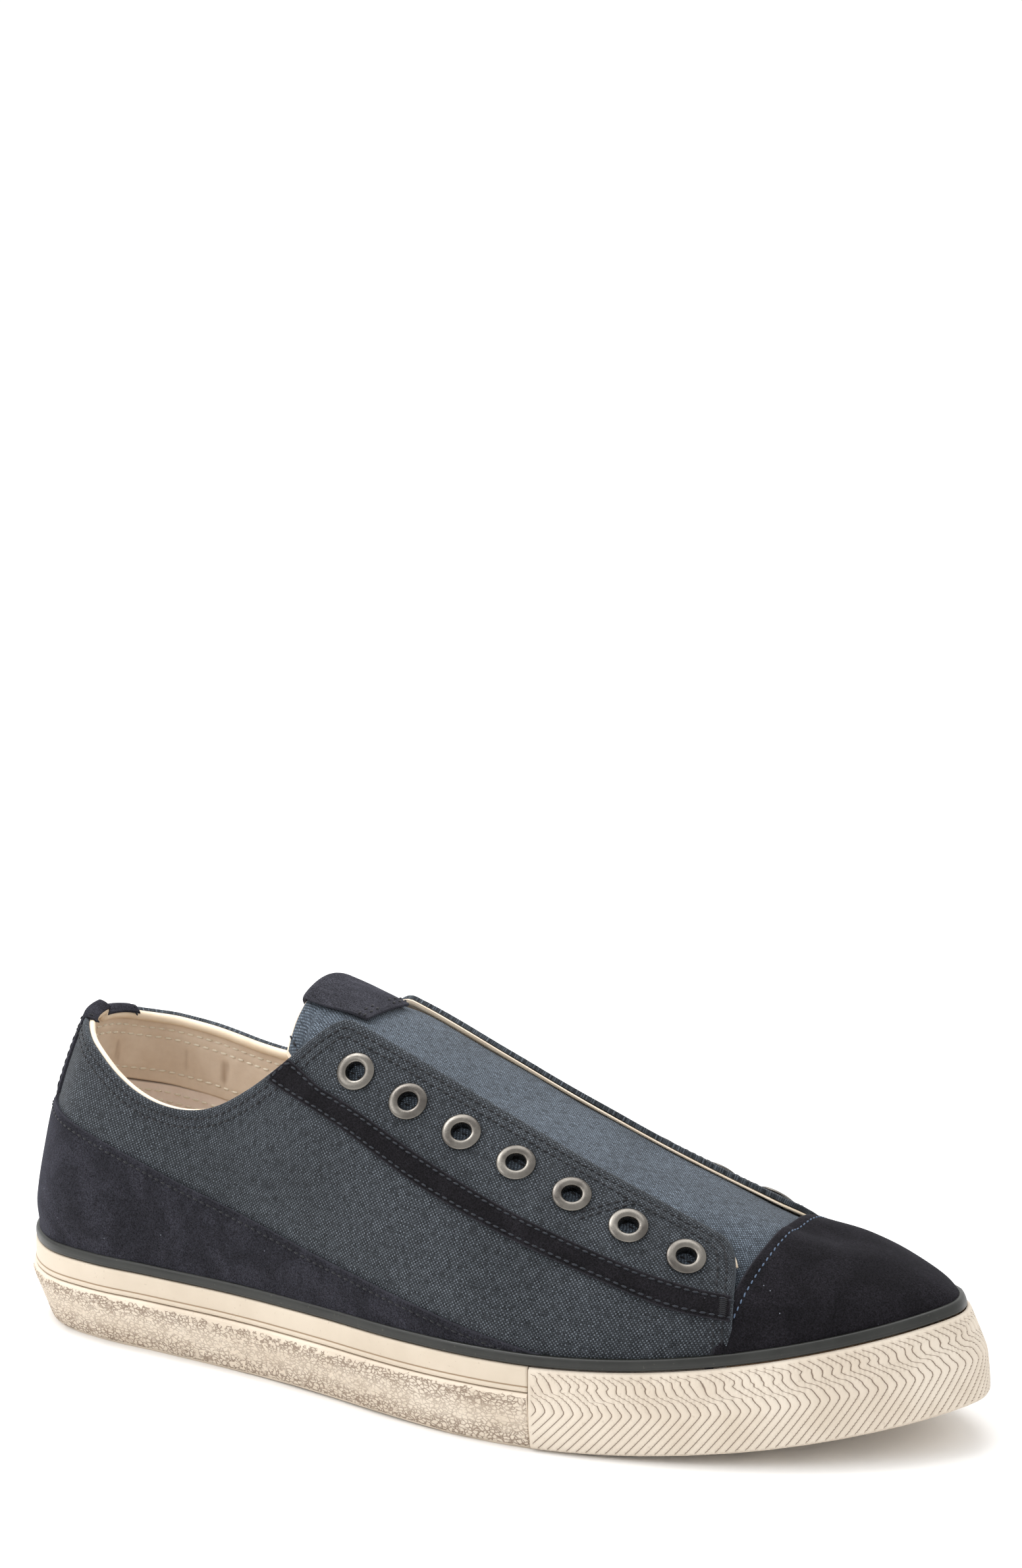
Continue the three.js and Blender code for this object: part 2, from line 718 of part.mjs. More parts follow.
// The tab folded over the collar at the heel
function makeHeelTab() {
  const half = heelHalf(heelTabWidth);
  const outside = onQuarter;
  const inside = quarterStep - upperWall - gap;
  const sections = evenTurns(-half, half, 8).map((turn) => {
    const top = edgeAngle(turn);
    const low = angleAtHeight(turn, lastPoint(turn, top).z - heelTabDrop);
    const rise = lastPoint(turn, top).sub(lastPoint(turn, top - 0.02)).normalize();
    const above = (offset, lift) => offsetPoint(turn, top, offset).addScaledVector(rise, lift);
    return [
      offsetPoint(turn, low, outside + overlayThickness),
      above(outside + overlayThickness, 0),
      above((outside + inside) / 2, gap + overlayThickness),
      above(inside - overlayThickness, 0),
      offsetPoint(turn, low, inside - overlayThickness),
      offsetPoint(turn, low, inside),
      above(inside, gap),
      above((outside + inside) / 2, gap),
      above(outside, gap),
      offsetPoint(turn, low, outside),
    ];
  });
  return loft(sections, false);
}

// Eyelets

// The place of an eyelet: the point at its distance below the facing's edge
function eyeletPlace(index, side) {
  const x = firstEyelet + ((lastEyelet - firstEyelet) * index) / (eyeletCount - 1);
  const angleIn = (turn) => angleBelowEdge(turn, eyeletEdgeDistance);
  const from = turnAt(x - 0.033 * shoeLength, side);
  const to = turnAt(x + 0.073 * shoeLength, side);
  const turn = turningValue(from, to, (t) => lastPoint(t, angleIn(t)).x > x);
  return { turn, angle: angleIn(turn) };
}

function placeAlongNormal(object, place, offset) {
  object.position.copy(offsetPoint(place.turn, place.angle, offset));
  object.quaternion.setFromUnitVectors(new THREE.Vector3(0, 1, 0), lastNormal(place.turn, place.angle));
}

function eyeletCutter(place) {
  const drill = new THREE.Object3D();
  placeAlongNormal(drill, place, quarterStep - upperWall / 2);
  drill.updateMatrix();
  const pin = new THREE.CylinderGeometry(eyeletBarrel + gap, eyeletBarrel + gap, 2 * upperWall, eyeletSides);
  return pin.applyMatrix4(drill.matrix);
}

function makeEyelet() {
  const foot = -upperWall - gap;
  const profile = [
    [eyeletBarrel, foot],
    [eyeletBarrel, 0],
    [eyeletFlange, 0],
    [0.7 * eyeletFlange, eyeletHeight],
    [eyeletHole, 0.5 * eyeletHeight],
    [eyeletHole, foot],
    [eyeletBarrel, foot],
  ];
  const ring = new THREE.LatheGeometry(profile.map(([r, y]) => new THREE.Vector2(r, y)), eyeletSides);
  ring.deleteAttribute("normal");
  ring.deleteAttribute("uv");
  return mergeVertices(ring, 1e-3);
}

// Insole and tongue

// The upper's inside near its foot, moved inwards by a clearance
function besideWall(turn, height, clearance) {
  const low = outsoleThickness + gap;
  const foot = sidePoint(turn, upperInset + upperWall, low);
  const welt = offsetPoint(turn, aboveWelt(turn), -upperWall);
  const share = (height - low) / (pipingTop + gap - low);
  const inwards = soleEdge(turn, 1).sub(soleEdge(turn, 0)).multiplyScalar(clearance);
  return foot.lerp(welt, share).add(new THREE.Vector3(inwards.x, inwards.y, 0));
}

function makeInsole() {
  const low = outsoleThickness + gap;
  const high = low + insoleThickness;
  const rim = high + insoleEdgeRise;
  const sections = ringTurns.map((turn) => [
    besideWall(turn, low, insoleClearance),
    besideWall(turn, rim - 0.6, insoleClearance),
    besideWall(turn, rim, insoleClearance + 0.8),
    besideWall(turn, high, insoleEdgeWidth),
  ]);
  return slab(sections);
}

// Outer face of the tongue: close under the quarters, flatter between them, and a free narrow
// arch behind.
function tonguePoint(x, share) {
  const half = readTable(tongueLine, "half", x / shoeLength) * ballWidth;
  const middle = middleAt(x);
  const dy = share * half;
  const faceAt = (across) => {
    const place = lastOver(x, middle + across);
    return offsetPoint(place.turn, place.angle, quarterStep - upperWall - tongueClearance);
  };
  const face = faceAt(Math.abs(dy) < 0.5 ? 0.5 : dy);
  const rim = throatHalfWidth + 1;
  if (Math.abs(dy) < rim) {
    const flat = tongueFlatness + (1 - tongueFlatness) * smoothStep((x / shoeLength - 0.667) / 0.133);
    const edge = faceAt(dy < 0 ? -rim : rim).z;
    face.z = edge + (face.z - edge) * flat;
  }
  const top = tongueTopHeight - tongueTopFall * (x - tongueRear);
  const drop = tongueCrown - Math.sqrt(Math.max(tongueCrown ** 2 - dy ** 2, 0));
  const free = smoothStep((tongueRear + tongueSettle - x) / tongueSettle);
  return face.lerp(new THREE.Vector3(x, middle + dy, top - drop), free);
}

function tongueNormal(x, share) {
  const along = tonguePoint(x + 0.5, share).sub(tonguePoint(x - 0.5, share));
  const across = tonguePoint(x, Math.min(share + 0.03, 1)).sub(tonguePoint(x, Math.max(share - 0.03, -1)));
  return along.cross(across).normalize();
}

const tongueOffset = (x, share, offset) =>
  tonguePoint(x, share).addScaledVector(tongueNormal(x, share), offset);

function makeTongue() {
  const stations = 15;
  const columns = 10;
  const sections = [];
  for (let i = 0; i <= stations; i++) {
    const outer = [];
    const inner = [];
    for (let j = 0; j <= columns; j++) {
      const share = (2 * j) / columns - 1;
      const sweep = capSweep * Math.pow(2 * share * tongueLine[tongueLine.length - 1].half, 2);
      const front = capRear + capOverlap - 4 * gap - sweep;
      const x = tongueRear + ((front - tongueRear) * i) / stations;
      outer.push(tongueOffset(x, share, 0));
      inner.push(tongueOffset(x, share, -tongueThickness));
    }
    sections.push([...outer, ...inner.reverse()]);
  }
  return loft(sections, false);
}

// The loop folded over the tongue's top edge
function makeTongueTab() {
  const front = tongueRear + tabLength;
  const middle = tongueRear + 0.6 * tabLength;
  const near = tongueRear + 2;
  const under = tongueRear + tabUnderLength;
  const over = tabClearance + tabThickness;
  const below = -tongueThickness - tabClearance;
  const sections = evenTurns(-tabHalfWidth, tabHalfWidth, 6).map((dy) => {
    const shareAt = (x) => dy / (readTable(tongueLine, "half", x / shoeLength) * ballWidth);
    const at = (x, offset) => tongueOffset(x, shareAt(x), offset);
    const behind = (offset, back) => at(tongueRear, offset).add(new THREE.Vector3(-back, 0, 0));
    return [
      at(front, over),
      at(middle, over),
      at(near, over),
      behind(tabClearance, over),
      behind(below, over),
      at(near, below - tabThickness),
      at(under, below - tabThickness),
      at(under, below),
      at(near, below),
      behind(below, tabClearance),
      behind(tabClearance, tabClearance),
      at(near, tabClearance),
      at(middle, tabClearance),
      at(front, tabClearance),
    ];
  });
  return loft(sections, false);
}

// Assembly

const colours = {
  tread: { color: 0xe1d4c3, roughness: 0.85, metalness: 0 },
  foxing: { color: 0xeae1d1, roughness: 0.55, metalness: 0 },
  bumper: { color: 0xd8c9b8, roughness: 0.7, metalness: 0 },
  piping: { color: 0x2a2b2c, roughness: 0.45, metalness: 0 },
  canvas: { color: 0x454d57, roughness: 0.95, metalness: 0 },
  suede: { color: 0x2c2a30, roughness: 1, metalness: 0 },
  leather: { color: 0xc9ad8c, roughness: 0.6, metalness: 0 },
  nickel: { color: 0xa8a29a, roughness: 0.35, metalness: 1 },
};

const shoe = new THREE.Group();
function add(name, geometry, look) {
  const mesh = new THREE.Mesh(geometry, new THREE.MeshStandardMaterial(colours[look]));
  mesh.name = name;
  shoe.add(mesh);
  return mesh;
}

const eyelets = [];
for (const [label, side] of [
  ["outer", -1],
  ["inner", 1],
]) {
  for (let i = 0; i < eyeletCount; i++) eyelets.push({ name: `eyelet_${label}_${i + 1}`, place: eyeletPlace(i, side) });
}

add("outsole", makeOutsole(), "tread");
add("foxing_band", makeFoxing(), "foxing");
add("toe_bumper", makeBumper(), "bumper");
add("piping", makePiping(), "piping");
add("upper", cutAway(makeUpperBody(), eyelets.map((e) => eyeletCutter(e.place))), "canvas");
add("toe_cap", makeToeCap(), "suede");
add("heel_counter", makeCounter(), "suede");
add("heel_strip", makeHeelStrip(), "suede");
add("heel_tab", makeHeelTab(), "suede");
add("side_band_outer", makeSideBand(-1), "suede");
add("side_band_inner", makeSideBand(1), "suede");
add("tongue", makeTongue(), "canvas");
add("tongue_tab", makeTongueTab(), "suede");
add("insole", makeInsole(), "leather");
for (const { name, place } of eyelets) {
  placeAlongNormal(add(name, makeEyelet(), "nickel"), place, onQuarter);
}

// The origin is the middle of the shoe's box, on the floor
const box = new THREE.Box3().setFromObject(shoe);
shoe.position.set(-(box.min.x + box.max.x) / 2, -(box.min.y + box.max.y) / 2, -box.min.z);

export default shoe;
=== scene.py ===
import math

import bpy
import numpy as np
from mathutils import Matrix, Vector
from mathutils.bvhtree import BVHTree


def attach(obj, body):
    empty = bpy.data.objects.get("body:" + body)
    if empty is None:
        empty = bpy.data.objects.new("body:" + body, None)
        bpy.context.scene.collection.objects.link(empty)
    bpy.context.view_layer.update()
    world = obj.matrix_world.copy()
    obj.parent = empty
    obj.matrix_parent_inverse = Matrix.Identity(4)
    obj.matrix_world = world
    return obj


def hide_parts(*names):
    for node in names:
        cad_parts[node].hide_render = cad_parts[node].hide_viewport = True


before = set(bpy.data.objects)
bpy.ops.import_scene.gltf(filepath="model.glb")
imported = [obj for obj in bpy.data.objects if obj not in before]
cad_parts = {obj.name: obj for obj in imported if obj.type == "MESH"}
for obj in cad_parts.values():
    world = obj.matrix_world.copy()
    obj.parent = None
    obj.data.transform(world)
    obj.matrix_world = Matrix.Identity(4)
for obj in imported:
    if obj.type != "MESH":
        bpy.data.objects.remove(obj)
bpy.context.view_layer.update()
print("stage: frame loaded")

# The shoe's own sizes, as its solids have them
shoe = {
    "length": 300.0,
    "ballWidth": 105.0,
    "instepHeight": 112.0,
    "collarHeight": 95.0,
    "toeSpring": 14.0,
    "archRise": 0.5,
    "archFrom": 0.28,
    "archTo": 0.57,
    "archSoft": 0.08,
    "springFrom": 0.62,
    "gap": 0.3,
    "midX": 150.734,
    "midY": -0.048,
}
sole = {
    "thickness": 8.0,
    "widestHeight": 12.0,
    "foxingTop": 24.4,
    "pipingTop": 27.8,
    "rimLip": 0.9,
    "foxingThickness": 1.7,
    "heelTaper": 5.2,
    "ballTaper": 2.6,
    "toeLean": 2.4,
    "bumperStart": 192.0,
    "bumperTaper": 1.4,
    "chevronHeight": 12.5,
}
upper = {
    "wall": 1.8,
    "wallStart": 22.0,
    "quarterFront": 247.5,
    "quarterStep": 1.3,
    "throatHalfWidth": 18.5,
    "throatRear": 84.9,
    "frontCorner": 8.0,
    "rearCorner": 8.0,
    "notchHeight": 36.96,
    "capRear": 246.0,
    "capSweep": 6.0,
    "capOverlap": 4.0,
    "counterFront": 195.0,
    "bandRear": 96.9,
}

# The sole's widest line from above: shares of the length and of the ball width
outline = np.array([
    (0.0, 0.03), (0.016, -0.135), (0.06, -0.262), (0.12, -0.314), (0.2, -0.333), (0.3, -0.362),
    (0.4, -0.415), (0.5, -0.478), (0.58, -0.503), (0.65, -0.495), (0.72, -0.46), (0.79, -0.4),
    (0.86, -0.312), (0.92, -0.2), (0.97, -0.065), (1.0, 0.085), (0.985, 0.235), (0.94, 0.36),
    (0.88, 0.44), (0.8, 0.49), (0.71, 0.502), (0.62, 0.475), (0.52, 0.41), (0.42, 0.362),
    (0.32, 0.346), (0.22, 0.352), (0.13, 0.36), (0.06, 0.318), (0.016, 0.2),
])
# Along the length: ridge height; collar height outer and inner; fullness outer and inner
ridgeLine = np.array([
    (0.0, 1.17), (0.2, 1.17), (0.3, 1.125), (0.36, 1.045), (0.42, 0.965), (0.5, 0.855), (0.58, 0.75),
    (0.66, 0.655), (0.74, 0.57), (0.82, 0.495), (0.9, 0.44), (0.96, 0.405), (1.0, 0.37),
])
collarLine = np.array([
    (0.0, 0.99, 0.99), (0.05, 0.988, 0.988), (0.08, 0.975, 0.925), (0.11, 0.925, 0.9),
    (0.14, 0.868, 0.88), (0.17, 0.822, 0.858), (0.2, 0.796, 0.838), (0.235, 0.793, 0.825),
    (0.267, 0.818, 0.835), (0.3, 0.878, 0.885), (0.325, 0.94, 0.945), (0.355, 1.03, 1.03),
    (0.39, 1.16, 1.16), (0.43, 1.4, 1.4),
])
fullness = np.array([
    (0.0, 1.62, 1.62), (0.1, 1.85, 1.9), (0.2, 2.1, 2.15), (0.4, 2.1, 2.45), (0.5, 2.0, 2.3),
    (0.6, 2.0, 2.08), (0.7, 2.0, 2.0), (0.85, 2.1, 2.1), (1.0, 2.2, 2.2),
])
middleLine = np.array([(0.0, 0.03), (0.4, 0.02), (0.7, 0.035), (1.0, 0.07)])
counterLine = np.array([
    (0.0, 0.728), (0.08, 0.69), (0.16, 0.63), (0.227, 0.573), (0.29, 0.526), (0.34, 0.488), (0.4, 0.445),
    (0.455, 0.412), (0.52, 0.372), (0.57, 0.338), (0.61, 0.315), (0.65, 0.29),
])
# The side band's lower and upper edge on the outer side, then on the inner side
bandLine = np.array([
    (0.32, 0.925, 0.99, 0.92, 0.98), (0.345, 0.893, 0.955, 0.875, 0.935),
    (0.41, 0.817, 0.888, 0.785, 0.853), (0.5, 0.697, 0.768, 0.672, 0.742),
    (0.6, 0.59, 0.65, 0.58, 0.64), (0.7, 0.492, 0.549, 0.49, 0.547),
    (0.76, 0.437, 0.498, 0.437, 0.498), (0.82, 0.405, 0.46, 0.405, 0.46),
])
tongueLine = np.array([
    (0.32, 0.21), (0.4, 0.275), (0.5, 0.295), (0.65, 0.3), (0.77, 0.31), (0.84, 0.31),
])


def readTable(rows, column, along):
    # a smooth curve through the rows of a table
    xs, ys = rows[:, 0], rows[:, column]
    last = len(xs) - 1
    slopes = np.gradient(ys, xs)
    slopes[1:last] = (ys[2:] - ys[:-2]) / (xs[2:] - xs[:-2])
    along = np.asarray(along, float)
    i = np.clip(np.searchsorted(xs[1:last], along, "left"), 0, last - 1)
    span = xs[i + 1] - xs[i]
    t = np.clip((along - xs[i]) / span, 0, 1)
    t2, t3 = t * t, t * t * t
    return ((2 * t3 - 3 * t2 + 1) * ys[i] + (t3 - 2 * t2 + t) * span * slopes[i]
            + (3 * t2 - 2 * t3) * ys[i + 1] + (t3 - t2) * span * slopes[i + 1])


def smoothStep(t):
    c = np.clip(t, 0, 1)
    return c * c * (3 - 2 * c)


def bump(t):
    return np.exp(-t * t)


# The widest line as a dense closed curve, by arc length
def traceOutline(perSpan=150):
    p = outline * (shoe["length"], shoe["ballWidth"])
    n = len(p)
    parts = []
    t = np.linspace(0, 1, perSpan, endpoint=False)[:, None]
    for i in range(n):
        p0, p1, p2, p3 = p[i - 1], p[i], p[(i + 1) % n], p[(i + 2) % n]
        d0, d1, d2 = (np.sum((b - a) ** 2) ** 0.25 for a, b in ((p0, p1), (p1, p2), (p2, p3)))
        m1 = ((p1 - p0) / d0 - (p2 - p0) / (d0 + d1) + (p2 - p1) / d1) * d1
        m2 = ((p2 - p1) / d1 - (p3 - p1) / (d1 + d2) + (p3 - p2) / d2) * d1
        parts.append(p1 + m1 * t + (-3 * p1 + 3 * p2 - 2 * m1 - m2) * t ** 2
                     + (2 * p1 - 2 * p2 + m1 + m2) * t ** 3)
    points = np.vstack(parts + [p[:1]])
    run = np.concatenate([[0], np.cumsum(np.linalg.norm(np.diff(points, axis=0), axis=1))])
    slope = np.gradient(points, run, axis=0)
    slope[0] = slope[-1] = (slope[0] + slope[-1]) / 2
    slope /= np.linalg.norm(slope, axis=1)[:, None]
    return run[-1], run / run[-1], points, slope


girth, traceTurns, tracePoints, traceSlopes = traceOutline()


def soleEdge(turn, inset=0.0):
    at = np.mod(turn, 1)
    x, y = (np.interp(at, traceTurns, tracePoints[:, k]) for k in (0, 1))
    tx, ty = (np.interp(at, traceTurns, traceSlopes[:, k]) for k in (0, 1))
    return x - ty * inset, y + tx * inset


toeTurn = traceTurns[np.argmax((traceTurns > 0.4) & (traceSlopes[:, 0] < 0))]


def turnAt(x, side):
    mask = traceTurns <= toeTurn if side < 0 else traceTurns >= toeTurn
    xs, ts = tracePoints[mask, 0], traceTurns[mask]
    return np.interp(x, xs, ts) if side < 0 else np.interp(x, xs[::-1], ts[::-1])


springStart = shoe["springFrom"] * shoe["length"]


def springAt(x):
    return shoe["toeSpring"] * (np.maximum(x - springStart, 0) / (shoe["length"] - springStart)) ** 2


def springSlope(x):
    return 2 * springAt(x) / np.maximum(x - springStart, 1)


def archAt(x):
    share, soft = x / shoe["length"], shoe["archSoft"]
    return (shoe["archRise"] * smoothStep((share - shoe["archFrom"]) / soft)
            * smoothStep((shoe["archTo"] - share) / soft))


def middleAt(x):
    return readTable(middleLine, 1, x / shoe["length"]) * shoe["ballWidth"]


def sidePoint(turn, inset, height):
    above = height - sole["widestHeight"]
    share = soleEdge(turn)[0] / shoe["length"]
    lean = sole["toeLean"] * smoothStep((share - 0.72) / 0.24) * np.maximum(above, 0)
    x, y = soleEdge(turn, inset + lean / (sole["pipingTop"] - sole["widestHeight"]))
    return np.stack(np.broadcast_arrays(x - springSlope(x) * above, y, height + springAt(x)), -1)


def heightOver(p):
    above = p[..., 2] - springAt(p[..., 0]) - sole["widestHeight"]
    return p[..., 2] - springAt(p[..., 0] + springSlope(p[..., 0]) * above)


upperInset = sole["rimLip"] + sole["foxingThickness"] + shoe["gap"]


def ridgePlace(x):
    soft, heel, toe = (k * shoe["length"] for k in (0.045, 0.185, 0.79))
    fromHeel = heel + soft * np.log(1 + np.exp((x - heel) / soft))
    return toe - soft * np.log(1 + np.exp((toe - fromHeel) / soft))


def columnAt(turn):
    # one column of the last: its foot, its place on the ridge and its fullness
    foot = sidePoint(turn, upperInset, upper["wallStart"])
    ridgeX = ridgePlace(foot[..., 0])
    ridgeY = middleAt(ridgeX)
    share = foot[..., 0] / shoe["length"]
    power = np.where(foot[..., 1] < ridgeY, readTable(fullness, 1, share), readTable(fullness, 2, share))
    return foot, ridgeX, ridgeY, power


def lastPoint(turn, angle):
    foot, ridgeX, ridgeY, power = columnAt(turn)
    reach = np.maximum(np.cos(angle), 0) ** (2 / power)
    x = ridgeX + (foot[..., 0] - ridgeX) * reach
    y = ridgeY + (foot[..., 1] - ridgeY) * reach
    base = upper["wallStart"] + springAt(x + springSlope(x) * (upper["wallStart"] - sole["widestHeight"]))
    top = readTable(ridgeLine, 1, x / shoe["length"]) * shoe["instepHeight"]
    return np.stack((x, y, base + (top - base) * np.maximum(np.sin(angle), 0) ** (2 / power)), -1)


def unit(v):
    return v / np.maximum(np.linalg.norm(v, axis=-1, keepdims=True), 1e-12)


def lastNormal(turn, angle):
    step = 0.01
    low = np.clip(angle - step, 2 * step, math.pi / 2 - 3 * step)
    up = lastPoint(turn, low + 2 * step) - lastPoint(turn, low)
    along = lastPoint(turn + 0.002, low + step) - lastPoint(turn - 0.002, low + step)
    return unit(np.cross(along, up))


def offsetPoint(turn, angle, offset):
    turn, angle, offset = np.broadcast_arrays(turn, angle, offset)
    return lastPoint(turn, angle) + lastNormal(turn, angle) * offset[..., None]


# The first angle up each column at which a test of the point turns true
def angleWhere(turns, reached):
    turns = np.atleast_1d(np.asarray(turns, float))
    steps = np.linspace(0, math.pi / 2, 91)
    hit = reached(lastPoint(turns[:, None], steps[None, :]), turns[:, None])
    hit[:, 0] = False
    first = np.where(hit.any(axis=1), hit.argmax(axis=1), 90)
    low, high = steps[first - 1], steps[first]
    for _ in range(24):
        mid = (low + high) / 2
        inside = reached(lastPoint(turns, mid), turns)
        low, high = np.where(inside, low, mid), np.where(inside, mid, high)
    return low


def angleAboveSole(turns, height):
    return angleWhere(turns, lambda p, t: heightOver(p) > height)


def angleAtHeight(turns, height):
    def reached(p, t):
        return p[..., 2] > (height if p.ndim == 2 else np.reshape(height, (-1, 1)))

    return angleWhere(turns, reached)


quarterEnds = (float(turnAt(upper["quarterFront"], -1)), float(turnAt(upper["quarterFront"], 1)))


def capRearAt(p):
    aside = 2 * (p[..., 1] - middleAt(p[..., 0])) / shoe["ballWidth"]
    return upper["capRear"] - upper["capSweep"] * aside ** 2


def collarDepth(p, turn):
    middle = middleAt(p[..., 0])
    share = p[..., 0] / shoe["length"]
    line = np.where(p[..., 1] < middle, readTable(collarLine, 1, share), readTable(collarLine, 2, share))
    overCollar = p[..., 2] - line * shoe["collarHeight"]
    corner = upper["frontCorner"]
    ahead = np.maximum(soleEdge(turn)[0] - (upper["quarterFront"] - corner), 0)
    cut = corner - np.sqrt(np.maximum(corner ** 2 - ahead ** 2, 0))
    behind = np.maximum(upper["throatRear"] - p[..., 0], 0)
    inThroat = upper["throatHalfWidth"] + cut - np.abs(p[..., 1] - middle) - behind
    soft = upper["rearCorner"]
    mix = np.maximum(soft - np.abs(overCollar - inThroat), 0) / soft
    return np.maximum(overCollar, inThroat) + mix * mix * soft / 4


def edgeAngle(turns):
    return angleWhere(turns, lambda p, t: collarDepth(p, t) > 0)


# The angle at a distance below the top edge of each column
def angleBelowEdge(turns, distance):
    turns = np.atleast_1d(np.asarray(turns, float))
    top = edgeAngle(turns)
    edge = lastPoint(turns, top)
    high, low = top.copy(), np.zeros_like(top)
    for _ in range(24):
        mid = (low + high) / 2
        far = np.linalg.norm(lastPoint(turns, mid) - edge, axis=-1) > distance
        low, high = np.where(far, mid, low), np.where(far, high, mid)
    return high


def weltAngle(turns, below=0.0):
    return angleAboveSole(turns, sole["pipingTop"] + shoe["gap"] - below)


print("stage: shape of the last ready, girth %.1f mm" % girth)

# Making meshes
origin = np.array((shoe["midX"], shoe["midY"], 0.0))


def toFrame(points):
    # millimetres along the last to metres in the shoe's frame
    return (np.asarray(points, float) - origin) / 1000.0


def addObject(name, data):
    piece = bpy.data.objects.new(name, data)
    bpy.context.scene.collection.objects.link(piece)
    return piece


def meshOf(name, points, faces, cloth, values):
    mesh = bpy.data.meshes.new(name)
    mesh.from_pydata(toFrame(points).tolist(), [], faces)
    if cloth is not None:
        layer = mesh.uv_layers.new(name="cloth")
        corner = np.empty(len(mesh.loops), dtype=np.int64)
        mesh.loops.foreach_get("vertex_index", corner)
        layer.data.foreach_set("uv", (np.asarray(cloth) / 1000.0)[corner].ravel())
    for key, data in values.items():
        mesh.attributes.new(key, "FLOAT", "POINT").data.foreach_set("value", np.ravel(data).astype(float))
    return addObject(name, mesh)


def quadFaces(rows, columns, flip):
    faces = []
    for i in range(rows - 1):
        a, b = i * columns, (i + 1) * columns
        for j in range(columns - 1):
            quad = (a + j, b + j, b + j + 1, a + j + 1)
            faces.append(quad[::-1] if flip else quad)
    return faces


def gridPiece(name, points, cloth, values=None, flip=False, skip=None):
    # a sheet from a grid of points with its cloth coordinates; flip turns it over, skip opens holes
    rows, columns = points.shape[:2]
    faces = quadFaces(rows, columns, flip)
    flat = points.reshape(-1, 3)
    if skip is not None:
        middles = flat[np.array(faces)].mean(axis=1)
        keep = ~skip(middles)
        faces = [f for f, k in zip(faces, keep) if k]
    data = {k: np.broadcast_to(v, (rows, columns)) for k, v in (values or {}).items()}
    return meshOf(name, flat, faces, cloth.reshape(-1, 2), data)


def settle(piece):
    # bakes the modifiers into a plain mesh and drops them
    graph = bpy.context.evaluated_depsgraph_get()
    mesh = bpy.data.meshes.new_from_object(piece.evaluated_get(graph), preserve_all_data_layers=True,
                                           depsgraph=graph)
    old = piece.data
    piece.modifiers.clear()
    piece.data = mesh
    bpy.data.meshes.remove(old)
    mesh.name = piece.name
    for polygon in mesh.polygons:
        polygon.use_smooth = True
    return piece


softEdge = {"segments": 2, "angle": 55}


def thicken(piece, thickness, edge):
    # gives a sheet its wall, inwards, and rounds its edges
    wall = piece.modifiers.new("wall", "SOLIDIFY")
    wall.thickness = thickness / 1000.0
    wall.offset = -1
    wall.use_even_offset = False
    if edge:
        soft = piece.modifiers.new("soft", "BEVEL")
        soft.width = edge / 1000.0
        soft.segments = softEdge["segments"]
        soft.limit_method = "ANGLE"
        soft.angle_limit = math.radians(softEdge["angle"])
        soft.use_clamp_overlap = True
    return settle(piece)


def finishPiece(piece, material, slot, *nodes):
    piece.data.materials.clear()
    piece.data.materials.append(material)
    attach(piece, "root")
    if nodes:
        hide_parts(*nodes)
    return piece


def ringPiece(name, sections, values=None, closed=True):
    # closed sections swept along a path, in a ring or with both ends closed
    count, size = sections.shape[:2]
    faces = []
    for i in range(count if closed else count - 1):
        a, b = i * size, ((i + 1) % count) * size
        for j in range(size):
            k = (j + 1) % size
            faces.append((a + j, b + j, b + k, a + k))
    if not closed:
        faces.append(tuple(range(size)))
        faces.append(tuple(range((count - 1) * size, count * size))[::-1])
    data = {k: np.broadcast_to(v, (count, size)) for k, v in (values or {}).items()}
    piece = meshOf(name, sections.reshape(-1, 3), faces, None, data)
    for polygon in piece.data.polygons:
        polygon.use_smooth = True
    return piece


def runLength(points):
    return np.concatenate([[0], np.cumsum(np.linalg.norm(np.diff(points, axis=0), axis=1))])


def evenly(points, spacing):
    # the same path with its points a set distance apart
    run = runLength(points)
    count = max(int(round(run[-1] / spacing)), 2)
    at = np.linspace(0, run[-1], count + 1)
    return np.stack([np.interp(at, run, points[:, k]) for k in range(3)], -1)


def distanceTo(points, path):
    # distance from every point to a dense path
    flat = points.reshape(-1, 3)
    best = np.empty(len(flat))
    for start in range(0, len(flat), 4000):
        part = flat[start:start + 4000, None, :] - path[None, :, :]
        best[start:start + 4000] = np.sqrt((part ** 2).sum(-1).min(axis=1))
    return best.reshape(points.shape[:-1])


def softNoise(points, scale, seed):
    # smooth unevenness between -1 and 1, from a few fixed waves
    random = np.random.default_rng(seed)
    total = np.zeros(points.shape[:-1])
    for _ in range(7):
        direction = random.normal(size=3)
        direction *= random.uniform(0.6, 1.5) / np.linalg.norm(direction)
        total += np.sin(points @ direction * (2 * math.pi / scale) + random.uniform(0, 6.28))
    return total / 4.0


# Node trees

